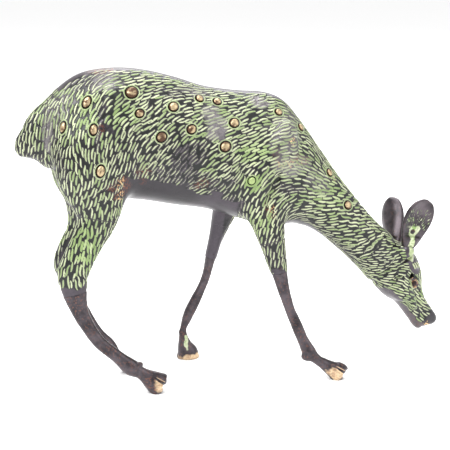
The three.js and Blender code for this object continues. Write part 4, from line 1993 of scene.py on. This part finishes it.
@dataclass(frozen=True)
class EarShape:
    """A hollow leaf on a stalk.

    Attributes:
        node: Name of its CAD node.
        root: Where the stalk enters the skull.
        tip: The tip.
        face: The way the hollow looks.
        breadth: Share of the usual width.
        voxel: Fineness of the model.
    """

    node: str
    root: tuple[float, float, float]
    tip: tuple[float, float, float]
    face: tuple[float, float, float]
    breadth: float = 1.0
    voxel: float = 0.3

    THINNEST = 0.4

    # Distance from the root, half width and half thickness.
    LEAF = np.array([
        [-8, 1.8, 1.8], [-3, 2.6, 2.4], [3, 5.8, 3.2], [10, 8.4, 3.4],
        [19, 10.8, 3.4], [27, 10.5, 3.2], [33.5, 7.4, 2.4], [36.8, 2, 1],
    ], float)

    @cached_property
    def axes(self) -> Array:
        """Directions across, the way the hollow looks, and from root to tip.

        Returns:
            The three directions, one a row.
        """
        axis = unit(np.subtract(self.tip, self.root))
        face = np.array(self.face)
        face = unit(face - axis * (face @ axis))
        return np.stack([np.cross(face, axis), face, axis])

    def local(self, points: Array) -> Array:
        """Points measured along the ear's axes from its root."""
        return (points - np.array(self.root)) @ self.axes.T

    def at(self, across: float, out: float, along: float) -> Array:
        """A place given along the ear's axes."""
        return np.array(self.root) + np.array([across, out, along], float) @ self.axes

    def leaf(
        self, first: float, last: float, shift: float = 0.0, rim: float = 0.0, depth: float = 0.0
    ) -> Skin:
        """The skin of the leaf between two stations, moved toward its face and grown.

        Args:
            first: Station where the leaf starts.
            last: Station where it ends.
            shift: How far it moves toward its face.
            rim: How much wider it is.
            depth: How much thicker it is.

        Returns:
            The closed skin.
        """
        values, _ = smooth(self.LEAF, np.linspace(first, last, 60))
        _, face, axis = self.axes
        middle = np.array(self.root) + values[:, :1] * axis + face * shift
        tiled = (np.tile(way, (len(values), 1)) for way in self.axes)
        wide = np.maximum(values[:, 1] * self.breadth + rim, self.THINNEST)
        deep = np.maximum(values[:, 2] + depth, self.THINNEST)
        return Sections(middle, *tiled, wide, deep).skin(56)

    def model(self) -> tuple[Field, Field]:
        """The ear, and the hollow taken from it.

        Returns:
            Both shapes.
        """
        ends = np.array([self.at(a, b, c) for a in (-12, 12) for b in (-6, 6) for c in (-10, 38)])
        grid = Grid(tuple(ends.min(0)), tuple(ends.max(0)), self.voxel)
        ear = Field.inside(grid, self.leaf(0, 7))
        ear.join(Field.inside(grid, self.leaf(2.6, 6.6, -0.5, -2.5, 0.3)), 1.5)
        hollow = Field.inside(grid, self.leaf(2.9, 6.75, 2.5, -1.4, 0.1))
        ear.cut(hollow, 2.2)
        axes = self.axes
        ear.lump(self.at(0, 0.6, 12), axes, (1.6, 2.4, 1.8), 0.6, -1)
        ear.lump(self.at(0, 3.9, 6), axes, (2.0, 1.8, 8), 1.4, -1)
        for across, along, long in ((-3.4, 17, 6), (3.6, 18, 6), (0.3, 22, 6)):
            ear.lump(self.at(across, -0.6, along), axes, (0.9, 0.9, long), 1.2)
        return ear.blur(0.35), hollow

    def build(self, palette: Palette) -> None:
        """Makes the ear.

        Args:
            palette: The finishes.
        """
        ear, hollow = self.model()
        made = Surface.smooth(ear.skin())
        points = made.skin.points
        across, out, along = self.local(points).T
        across = across / self.breadth
        inside = ease(0.5, 0.1, hollow.at(points)) * ease(6, 9, along)
        edge = ease(0.75, 0.95, abs(across) / np.interp(along, self.LEAF[:, 0], self.LEAF[:, 1]))
        ragged = grain(points, 3, 29)
        fur = inside * ease(31, 28, along + ragged) * ease(13, 16, along) * (1 - edge)
        stalk = ease(13, 10, along) * ease(0.4, 1.2, out)
        made.chase(Coat(self._lie, 4.2, 1.25, 0.24, 31, 0.02), fur)
        pit = ease(2.4, 1.5, np.linalg.norm(points - self.at(0, 0, 12), axis=1))
        half_trough = np.interp(along, (2, 8, 14), (1.6, 1.4, 3.4))
        trough = ease(1.2, 0.0, abs(across) + 0.8 * ragged - half_trough)
        trough *= ease(19, 15, along + ragged)
        trough *= np.maximum(inside, stalk) * (1 - pit)
        marks = made.marks
        marks["brush"] = np.clip(fur * 0.85 + trough, 0, 1)
        marks["coat"] = np.maximum(marks["coat"] * (0.64 + 0.2 * ragged), trough * 0.8)
        marks["gold"] = 0.3 * pit
        marks["copper"] = np.maximum(pit, 0.12 * (1 + grain(points, 8, 2)) * (1 - inside))
        piece = Piece(f"{self.node}_leaf", made.skin, marks)
        piece.place(Slot.DARK, palette.dark, self.node, sharp=60)

    def _lie(self, points: Array) -> Array:
        """Hair in the ear fans out from the stalk.

        Args:
            points: Surface points.

        Returns:
            The directions.
        """
        local = self.local(points)
        fan = np.stack([local[:, 0] * 0.09, np.zeros(len(points)), np.ones(len(points))], 1)
        return unit(fan @ self.axes)


EARS = (
    EarShape("ear_right", (117.4, -4.5, 78.2), (126.2, -14, 114.2), (0.15, -0.95, 0)),
    EarShape("ear_left", (114.5, 9, 75.2), (116.8, 24.6, 100.8), (0.8, 0.55, 0), 0.88),
)


@dataclass
class Head:
    """The head, with its eyes and ears.

    Attributes:
        palette: Finishes.
        voxel: Fineness of the model.
    """

    palette: Palette
    voxel: float

    EYE = (8.6, 9.6, -4.6)
    EYE_RADIUS = 3.0
    BROW = ((-2.2, 0.7), (-1.7, 2.3), (-1.2, 3.9))  # place along the head and height of its ridges

    def model(self) -> Field:
        """Builds up the head in soft forms.

        Returns:
            The head, with the end of the neck.
        """
        grid = Grid((78, -24, 12), (150, 34, 104), self.voxel)
        head = Field.inside(grid, skull())
        stations = np.linspace(13.5, len(TORSO) - 1, 60)
        neck = Field.inside(grid, Sections.leaning(TORSO, stations).skin(96, 0, BACK_NARROWING))
        head.join(neck, 5)
        for ear in EARS:
            head.lump(ear.at(0, 0, -2.5), ear.axes, (5.4, 5.0, 4.6), 4)
            head.lump(ear.at(0, 1.2, -6), ear.axes, (4.2, 4.6, 9), 3)
        own, axes = HeadFrame(), HeadFrame().axes
        for side in Side:
            self._face(head, own, side.value)
        head.lump(own.at(-4, 0, 4.5), axes, (9, 7, 3.6), 3)
        slope = unit(np.array([[0.72, 0, -0.69], [0, 1, 0], [0.69, 0, 0.72]]))
        head.lump(np.array([101.0, -0.6, 55.8]), slope, (14, 7, 4), 5)
        head.lump(own.at(45, 0, 1.2), axes, (4.4, 5.2, 4.4), 1.5)
        head.lump(own.at(40, 0, -9.4), axes, (6.5, 4.4, 3), 1.8)
        head.lump(own.at(47.6, 0, -4.4), axes, (3.2, 4.2, 0.5), 0.5, -1)
        head.lump(own.at(48.6, 0, 1.4), axes, (1.6, 0.5, 2.4), 0.6, -1)
        return head.blur(0.4)

    def _face(self, head: Field, own: HeadFrame, out: int) -> None:
        """Adds one side of the face.

        Args:
            head: The head so far.
            own: The head's own axes.
            out: 1 for the animal's left side, and -1 for its right.
        """
        along, _, up = self.EYE
        forms = (
            ((5, 9, -13), (12, 4.4, 8), 4, 1),
            ((17, 8.4, -9.6), (10, 2.0, 2.2), 3, 1),
            ((along - 1, 10.5, up), (6.6, 2.2, 5.0), 2.5, -1),
            ((along, 9.0, up), (4.9, 3.7, 3.9), 1.4, 1),
            ((along + 0.3, 12.6, up), (3.0, 2.4, 1.6), 0.5, -1),
            ((along - 1.0, 10.2, up + 3.2), (6.2, 2.9, 1.8), 1.2, 1),
            ((along - 0.4, 10.0, up - 3.2), (5.2, 2.6, 1.3), 1.2, 1),
            *(((behind, 10.6, above), (3.0, 2.2, 0.55), 0.7, 1) for behind, above in self.BROW),
            ((along + 7.6, 9.2, up - 1.2), (3.0, 1.2, 0.9), 1.2, -1),
            ((26, 7.6, -3.0), (11, 1.6, 3.2), 3, -1),
            ((46.0, 4.3, 1.6), (2.3, 1.3, 1.15), 0.7, -1),
            ((43.2, 4.6, 1.2), (3.4, 1.6, 2.6), 1.2, 1),
            ((40.5, 6.7, -5.0), (8.5, 1.8, 0.5), 0.6, -1),
            ((-9, 11.2, -1), (1.2, 2.2, 6), 1.6, -1),
            ((-7, 12.3, -9), (1.2, 2.2, 5), 1.6, -1),
            ((-2, 12.4, -15), (1.2, 2.2, 4.5), 1.6, -1),
        )
        for (ahead, wide, high), radii, blend, sign in forms:
            head.lump(own.at(ahead, out * wide, high), own.axes, radii, blend, sign)

    def _lie(self, points: Array) -> Array:
        """Hair runs down the muzzle, and joins the lie of the neck behind the jaw.

        Args:
            points: Surface points.

        Returns:
            The directions.
        """
        own = HeadFrame()
        along, _, up = own.local(points).T
        rise = 0.55 - 0.05 * (up + 8) * ease(30, 10, along)
        face = np.stack([np.ones_like(along), 0 * along, rise], 1)
        down = ease(-10, 4, along)[:, None]
        return unit(face @ own.axes * down + Lie(BODY_HINTS)(points) * (1 - down))

    def surface(self, shape: Field) -> Surface:
        """The head's skin with its coat and marks.

        Args:
            shape: The modelled head.

        Returns:
            The surface.
        """
        made = Surface.smooth(shape.skin())
        points, normals = made.skin.points, point_normals(made.skin)
        along, out, up = HeadFrame().local(points).T
        eye = np.min([np.linalg.norm(points - self.eye_middle(side), axis=1) for side in Side], axis=0)
        jaw = ease(-17, -19, up - 0.3 * (along - 10) + 1.5 * grain(points, 4, 8))
        jaw = jaw * ease(-4, 4, along)
        throat = ease(-0.66, -0.86, normals[:, 2]) * ease(4, -4, along)
        nose = ease(37, 40, along + 0.25 * up)
        stalk, line = self._stalks(points)
        lid = ease(5.0, 4.0, eye)
        brow, dash = self._brow(along, out, up)
        room = 1 - np.max([jaw, throat, nose, stalk, lid, brow], axis=0)
        made.chase(Coat(self._lie, 5.2, 1.5, 0.28, 23, 0.05), room)
        marks = made.marks
        cheek = ease(0, 8, along)
        marks["paint"] = 0.68 + 0.3 * cheek * ease(34, 24, along) + 0.25 * grain(points, 10, 12)
        eye_up = self.EYE[2]
        rim = ease(5.4, 4.6, eye) * ease(3.2, 3.8, eye) * ease(eye_up + 1.5, eye_up - 1.5, up)
        marks["coat"] = np.max([marks["coat"], 0.8 * line, 0.7 * rim, dash], axis=0)
        brush = np.max([ease(0.1, 0.6, room), line, 0.7 * rim, dash], axis=0)
        marks["brush"] = np.clip(brush, 0, 1)
        lips = ease(2.6, 1.2, abs(up + 5.2)) * ease(41, 44, along) * (1.2 + 0.4 * grain(points, 2, 6))
        marks["gold"] = np.maximum(lips, 0.5 * ease(5.2, 4.0, eye))
        chin = 0.35 * jaw * ease(20, 40, along)
        marks["copper"] = np.maximum(0.9 * ease(5.0, 3.6, eye), chin)
        marks["worn"] = 0.35 * jaw
        return made

    @staticmethod
    def _brow(along: Array, out: Array, up: Array) -> tuple[Array, Array]:
        """The dark brow above each eye, and the pale dashes on it.

        Args:
            along: Distances along the head.
            out: Distances to the left.
            up: Heights.

        Returns:
            How much each point belongs to the brow, and to a dash.
        """
        brow = ease(5.2, 4.0, np.hypot((along + 0.4) / 1.2, up - 2.4)) * ease(4, 6, abs(out))
        dash = np.zeros(len(along))
        for behind, above in Head.BROW:
            away = np.hypot(np.maximum(abs(along - behind) - 1.8, 0), up - above)
            dash = np.maximum(dash, ease(0.8, 0.4, away))
        return brow, dash * ease(4, 6, abs(out))

    @staticmethod
    def _stalks(points: Array) -> tuple[Array, Array]:
        """Where each ear's stalk runs down into the forehead, and the painted line along it.

        Args:
            points: Surface points.

        Returns:
            How much each point belongs to a stalk, and to a line.
        """
        stalk, line = np.zeros(len(points)), np.zeros(len(points))
        for ear in EARS:
            start, end = ear.at(0, 3.5, 2), ear.at(-5.5, 4.6, -11)
            along = np.clip((points - start) @ (end - start) / ((end - start) @ (end - start)), 0, 1)
            away = np.linalg.norm(points - start - along[:, None] * (end - start), axis=1)
            away += 0.7 * grain(points, 3, 19)
            stalk = np.maximum(stalk, ease(5.2, 4.0, away))
            wide = np.interp(along, (0, 0.25, 0.5, 0.9), (1.2, 3.2, 3.0, 0.9))
            hole = ease(0.9, 1.5, np.linalg.norm(points - ear.at(-1.6, 4.2, -2.5), axis=1))
            line = np.maximum(line, ease(0.4, -0.6, away - wide) * ease(0.95, 0.8, along) * hole)
        return stalk, line

    def build(self) -> None:
        """Makes the head, the eyes and the ears."""
        neck = NeckJoint()
        made = self.surface(self.model())
        head = Piece("head_cast", made.skin, made.marks)
        head.cut(block(neck.middle + neck.forward * SEAM, neck.forward), Cut.KEEP)
        head.cut(neck.bar(), Cut.JOIN)
        head.cut(neck.pin(SEAM))
        for ear in EARS:
            head.cut(ear.leaf(0, 3.2, 0, SEAM, SEAM))
            head.cut(rod(ear.at(0, 0, -8 - SEAM), ear.at(0, 0, -6), 1.8 + SEAM))
        for side in Side:
            middle = self.eye_middle(side)
            out = HeadFrame().axes[1] * side.value
            head.cut(self.eyeball(middle, out, SEAM))
            eye = self.eyeball(middle, out, 0)
            dirt = ease(2.2, 2.8, dot(eye.points - middle, out[None]))
            node = f"eye_{side.name.lower()}"
            piece = Piece(f"{node}_ball", eye, {"dirt": 0.1 + 0.8 * dirt})
            piece.place(Slot.EYE, self.palette.eye, node, sharp=70)
        head.place(Slot.FUR, self.palette.fur, "head", sharp=Carcass.CRISP)
        for ear in EARS:
            ear.build(self.palette)

    def eye_middle(self, side: Side) -> Array:
        """Middle of the eye on one side."""
        along, out, up = self.EYE
        return HeadFrame().at(along, side.value * out, up)

    def eyeball(self, middle: Array, out: Array, growth: float) -> Skin:
        """The ball of an eye, with a ring cut round the pupil where it isn't a tool.

        Args:
            middle: Middle of the ball.
            out: The way it looks.
            growth: How much larger it is, where it is a tool.

        Returns:
            The closed skin.
        """
        radius = self.EYE_RADIUS + growth
        profile = []
        for angle in np.linspace(-88, 88, 33):
            turn = math.radians(angle)
            cut = 0.16 * math.exp(-(((angle - 66) / 4) ** 2)) if growth == 0 else 0
            profile.append(((radius - cut) * math.cos(turn), (radius - cut) * math.sin(turn)))
        return lathe(profile, middle, out, 36)


Place = tuple[float, float, float]


@dataclass(frozen=True)
class Foot:
    """What sets one foot apart.

    Attributes:
        fetlock: Station of the fetlock.
        twist: Turn of the cleft about the toe, in degrees.
        spur: Middle of the swelling at the fetlock.
        radii: Its half sizes.
        gleam: Middle of the polished place on the claws.
        reach: Its half sizes.
    """

    fetlock: float
    twist: float
    spur: Place
    radii: Place
    gleam: Place
    reach: Place


FEET = {
    "hind_right": Foot(12, 64, (-72.0, -27, 19.4), (2.9, 2.2, 2.0), (-58.5, -32, 6.4), (5.6, 9, 5.4)),
    "hind_left": Foot(12, -40, (-80.5, 18, 12.5), (2.4, 2.4, 2.2), (-68, 20, 4), (5, 8, 4)),
    "fore_right": Foot(10, 62, (40.2, -29, 16.6), (4.6, 2.8, 3.6), (59.5, -34, 5.4), (8.6, 9, 6.4)),
    "fore_left": Foot(10, 0, (-28.4, 36.5, 19), (2.4, 2.2, 2.4), (-21.5, 33, 1), (11.5, 9, 3.3)),
}


@dataclass
class LowerLeg:
    """A lower leg with its cloven hoof and dewclaws.

    Attributes:
        plan: The leg.
        palette: Finishes.
        foot: How the foot is made.
        voxel: Fineness of the model.
    """

    plan: LegPlan
    palette: Palette
    foot: Foot
    voxel: float

    MARGIN = 11.0  # room round the leg's path in the model

    def model(self) -> Field:
        """Builds up the leg, with the claws, the cleft between them and the dewclaws.

        Returns:
            The lower leg.
        """
        path, knee = self.plan.path, self.plan.knee_joint
        last = len(path) - 1
        stations = np.linspace(self.plan.knee - 0.6, last, 160)
        sections = Sections.square(path, stations)
        low, high = sections.middle.min(0) - self.MARGIN, sections.middle.max(0) + self.MARGIN
        grid = Grid((*low[:2], -1.0), tuple(high), self.voxel)
        leg = Field.inside(grid, sections.skin(56))
        toe = Sections.square(path, last)
        middle, axes = toe.middle[0], np.stack([toe.forward[0], toe.side[0], toe.up[0]])
        wide, deep = toe.wide[0], toe.deep[0]
        toe_axes, axes = axes, self.cleft()
        apart = axes[1]
        for out in (-1, 1):
            claw = middle - axes[0] * 1.4 + apart * out * wide * 0.46
            leg.lump(claw, axes, (4.6, wide * 0.5, deep * 0.62), 0.9)
        leg.lump(middle + axes[0] * 2.6, axes, (9.5, 0.5, deep * 1.4), 0.6, -1)
        leg.lump(middle + axes[0] * 4.4, axes, (2.6, wide * 0.2, deep * 0.6), 0.9, -1)
        leg.lump(np.array(self.foot.spur), np.eye(3), self.foot.radii, 1.0)
        if self.plan.name == "fore_right":
            leg.lump(np.array([63.2, -32, 8.6]), toe_axes, (4.4, 2.6, 1.5), 1.5)
        toe_edge = middle + axes[0] * 5.5 - UPWARD * deep * 1.05
        leg.lump(toe_edge, np.eye(3), (deep * 0.85, wide * 2, deep * 0.7), 1.5, -1)
        tendon = Sections.square(path, np.linspace(self.plan.knee + 1.2, self.foot.fetlock - 0.6, 14))
        for spot, back, depth in zip(tendon.middle, tendon.up, tendon.deep):
            for out in (-1, 1):
                place = spot - back * depth * 0.25 + SIDEWAYS * out * depth * 1.02
                leg.lump(place, np.eye(3), (2.6, 0.5, 2.6), 1.0, -1)
        ground = Field.plane(grid, np.zeros(3), -UPWARD)
        leg.keep(ground)
        knee_cut = Field.plane(grid, knee.middle + knee.forward * SEAM, -knee.forward)
        return leg.blur(0.3).keep(ground).keep(knee_cut)

    def cleft(self) -> Array:
        """Directions toward the toe, from claw to claw, and square to both.

        Returns:
            The three directions, one a row.
        """
        toe = Sections.square(self.plan.path, len(self.plan.path) - 1)
        turn = math.radians(self.foot.twist)
        apart = toe.side[0] * math.cos(turn) + toe.up[0] * math.sin(turn)
        return np.stack([toe.forward[0], apart, np.cross(toe.forward[0], apart)])

    def build(self) -> None:
        """Makes the lower leg."""
        knee, last = self.plan.knee_joint, len(self.plan.path) - 1
        made = Surface.smooth(self.model().skin())
        points, normals = made.skin.points, point_normals(made.skin)
        rough = 0.07 * grain(points, 1.4, 2) + 0.12 * grain(points, 5, 6)
        flat = ease(0.0, 0.8, points[:, 2])
        made.skin = Skin(points + normals * (rough * flat)[:, None], made.skin.faces)
        toe = Sections.square(self.plan.path, last)
        from_gleam = (points - np.array(self.foot.gleam)) / np.array(self.foot.reach)
        away = np.linalg.norm(from_gleam, axis=1)
        marks = made.marks
        axes = self.cleft()
        from_toe = points - toe.middle[0]
        forward, across = from_toe @ axes[0], from_toe @ axes[1] * (1 if axes[1][2] >= 0 else -1)
        streaks = grain(points * np.array([1, 1, 0.3]), 1.6, 3)
        gold = ease(1.35, 0.5, away + 0.25 * streaks)
        if self.foot.twist:
            edge = np.exp(-(((abs(across) - 1.3) / 0.4) ** 2)) * ease(-9, -5, forward)
            edge *= ease(-0.2, 0.2, normals[:, 2])
            speckle = 0.85 + 0.3 * grain(points, 1.1, 8)
            gold = np.maximum(gold * ease(0.8, -1.2, across) * speckle, 0.75 * edge)
        marks["gold"] = gold
        marks["copper"] = 0.34 + 0.36 * grain(points, 14, 5)
        if self.plan.name == "fore_left":
            stripe = np.hypot(points[:, 0] + 26, (points[:, 2] - 12) / 3) + 0.8 * grain(points, 2, 33)
            marks["brush"] = ease(2.4, 1.2, stripe) * ease(0, -0.3, normals[:, 1])
            marks["coat"] = marks["brush"] * 0.8
        piece = Piece(self.plan.node("lower") + "_cast", made.skin, marks)
        piece.cut(knee.bar(knee.tenon.length, 3), Cut.JOIN)
        piece.cut(knee.pin_skin(SEAM))
        piece.place(Slot.DARK, self.palette.dark, self.plan.node("lower"), sharp=60)


@dataclass(frozen=True)
class SpotStud:
    """A spot: a domed oval head on a shank that goes through the shell."""

    name: str
    ring: Rosette
    shank: float = 1.1
    reach: float = 2.8

    def build(self, palette: Palette) -> None:
        """Makes the stud.

        Args:
            palette: The finishes.
        """
        ring, radius = self.ring, self.ring.radius
        normal = np.cross(ring.along, ring.across)
        shank, reach = self.shank, self.reach
        profile = [(shank * 0.8, -reach), (shank, -reach + 0.3), (shank, -0.15)]
        profile += [(radius * 0.93, -0.1), (radius, 0.15)]
        for angle in np.linspace(8, 88, 11):
            turn = math.radians(angle)
            profile.append((radius * math.cos(turn) ** 0.8, 0.25 + radius * 0.5 * math.sin(turn)))
        skin = lathe(profile, ring.middle, normal, 36)
        apart = skin.points - ring.middle
        s, t, up = apart @ ring.along, apart @ ring.across, apart @ normal
        head = ease(-0.2, 0.1, up)
        seed = len(self.name) + int(self.name[-2:])
        dents = 0.1 * grain(skin.points, 1.6, seed) * ease(0.3, 1.0, up)
        s, t = s * (1 + head * (ring.stretch - 1)), t * (1 + head * (1 / ring.stretch - 1))
        points = ring.middle + np.outer(s, ring.along) + np.outer(t, ring.across)
        points = points + np.outer(up + dents, normal)
        dull, moss = (cover(patches, ring.middle[None])[0] for patches in (DULL, MOSSY))
        dirt = ease(0.8, 0.2, up / (0.25 + radius * 0.5)) - 6 * dents + 0.7 * dull
        marks = {"dirt": dirt, "moss": np.full(len(points), moss)}
        dome = Piece(self.name + "_dome", Skin(points, skin.faces), marks)
        dome.place(Slot.SPOT, palette.spot, self.name, sharp=45)


PIN_DIRT = 0.3


def make_pins(palette: Palette) -> None:
    """Makes the cross pins of the legs and the neck.

    Args:
        palette: The finishes.
    """
    skins = {}
    for leg in LEGS:
        skins[f"{leg.name}_hip_pin"] = leg.hip_joint.pin_skin()
        skins[f"{leg.name}_knee_pin"] = leg.knee_joint.pin_skin()
    skins["neck_pin"] = NeckJoint().pin()
    for name, skin in skins.items():
        piece = Piece(name + "_turned", skin, {"dirt": np.full(len(skin.points), PIN_DIRT)})
        piece.place(Slot.PIN, palette.pin, name, sharp=40)


# The studio.


@dataclass(frozen=True)
class Lamp:
    """A square soft light: direction it comes from, distance, size and power."""

    name: str
    azimuth: float
    elevation: float
    distance: float
    size: float
    power: float

    def build(self, aim: Vector) -> None:
        """Hangs the lamp so that it looks at a point.

        Args:
            aim: The point it looks at.
        """
        light = bpy.data.lights.new(self.name, "AREA")
        light.size = self.size
        light.energy = self.power
        hang(bpy.data.objects.new(self.name, light), aim, self.azimuth, self.elevation, self.distance)


def hang(thing: bpy.types.Object, aim: Vector, azimuth: float, elevation: float, distance: float) -> None:
    """Hangs a lamp or camera so that it looks at a point.

    Args:
        thing: The lamp or camera.
        aim: The point.
        azimuth: Angle round the point, in degrees.
        elevation: Height angle, in degrees.
        distance: Distance from the point.
    """
    a, e = math.radians(azimuth), math.radians(elevation)
    back = Vector((math.sin(a) * math.cos(e), -math.cos(a) * math.cos(e), math.sin(e)))
    thing.location = aim + back * distance
    thing.rotation_mode = "QUATERNION"
    thing.rotation_quaternion = back.to_track_quat("Z", "Y")
    bpy.context.scene.collection.objects.link(thing)


@dataclass(frozen=True)
class Studio:
    """Pale floor, soft light and the camera.

    Attributes:
        azimuth: The camera's angle round the statuette.
        elevation: Its height angle.
        distance: Its distance.
        lens: Focal length in millimetres.
        sensor: Width of the sensor in millimetres.
        aim: Where it looks, in metres from the middle of the box's foot.
    """

    azimuth: float = -15.0
    elevation: float = 13.0
    distance: float = 1.0
    lens: float = 123.1
    sensor: float = 36.0
    aim: tuple[float, float, float] = (-0.009, -0.0037, 0.1005)

    def build(self) -> None:
        """Sets the stage."""
        low, high = CAD_BOX
        middle = (low + high) / 2
        aim = Vector((middle.x + self.aim[0], middle.y + self.aim[1], low.z + self.aim[2]))
        self._floor(low.z)
        self._camera(aim)
        lamps = (
            Lamp("key", -50, 48, 1.3, 0.9, 17),
            Lamp("fill", 55, 25, 1.4, 1.2, 7),
            Lamp("back", 160, 50, 1.4, 0.9, 12),
            Lamp("top", 0, 88, 1.2, 0.8, 8),
        )
        for lamp in lamps:
            lamp.build(middle)
        world = bpy.data.worlds.new("studio")
        world.use_nodes = True
        background = world.node_tree.nodes["Background"].inputs
        background["Color"].default_value = (1, 1, 1, 1)
        background["Strength"].default_value = 1.0
        bpy.context.scene.world = world
        bpy.context.scene.view_settings.view_transform = "Standard"

    @staticmethod
    def _floor(height: float) -> None:
        """Lays the floor.

        Args:
            height: Height of the floor in metres.
        """
        bpy.ops.mesh.primitive_plane_add(size=8, location=(0, 0, height))
        floor = bpy.context.object
        floor.name = "floor"
        floor.data.materials.append(FloorFinish().material())

    def _camera(self, aim: Vector) -> None:
        """Sets up the camera.

        Args:
            aim: The point it looks at.
        """
        camera = bpy.data.objects.new("camera", bpy.data.cameras.new("camera"))
        camera.data.lens = self.lens
        camera.data.sensor_width = self.sensor
        hang(camera, aim, self.azimuth, self.elevation, self.distance)
        bpy.context.scene.camera = camera


@dataclass(frozen=True)
class Fineness:
    """Spacing of the grids that the castings are modelled on.

    Attributes:
        body: For the body and the upper legs.
        head: For the head.
        leg: For the lower legs.
    """

    body: float
    head: float
    leg: float


FINE = Fineness(0.61, 0.42, 0.34)


def main() -> None:
    """Builds the statuette, piece by piece."""
    logging.basicConfig(level=logging.INFO, format="%(message)s")
    Studio().build()
    palette = Palette()
    fineness = FINE
    rosettes = Carcass(palette, fineness.body).build()
    Head(palette, fineness.head).build()
    for leg in LEGS:
        LowerLeg(leg, palette, FEET[leg.name], fineness.leg).build()
    for name, ring in rosettes.items():
        SpotStud(name, ring).build(palette)
    make_pins(palette)
    DowelSet().build(palette)


if __name__ == "__main__":
    main()
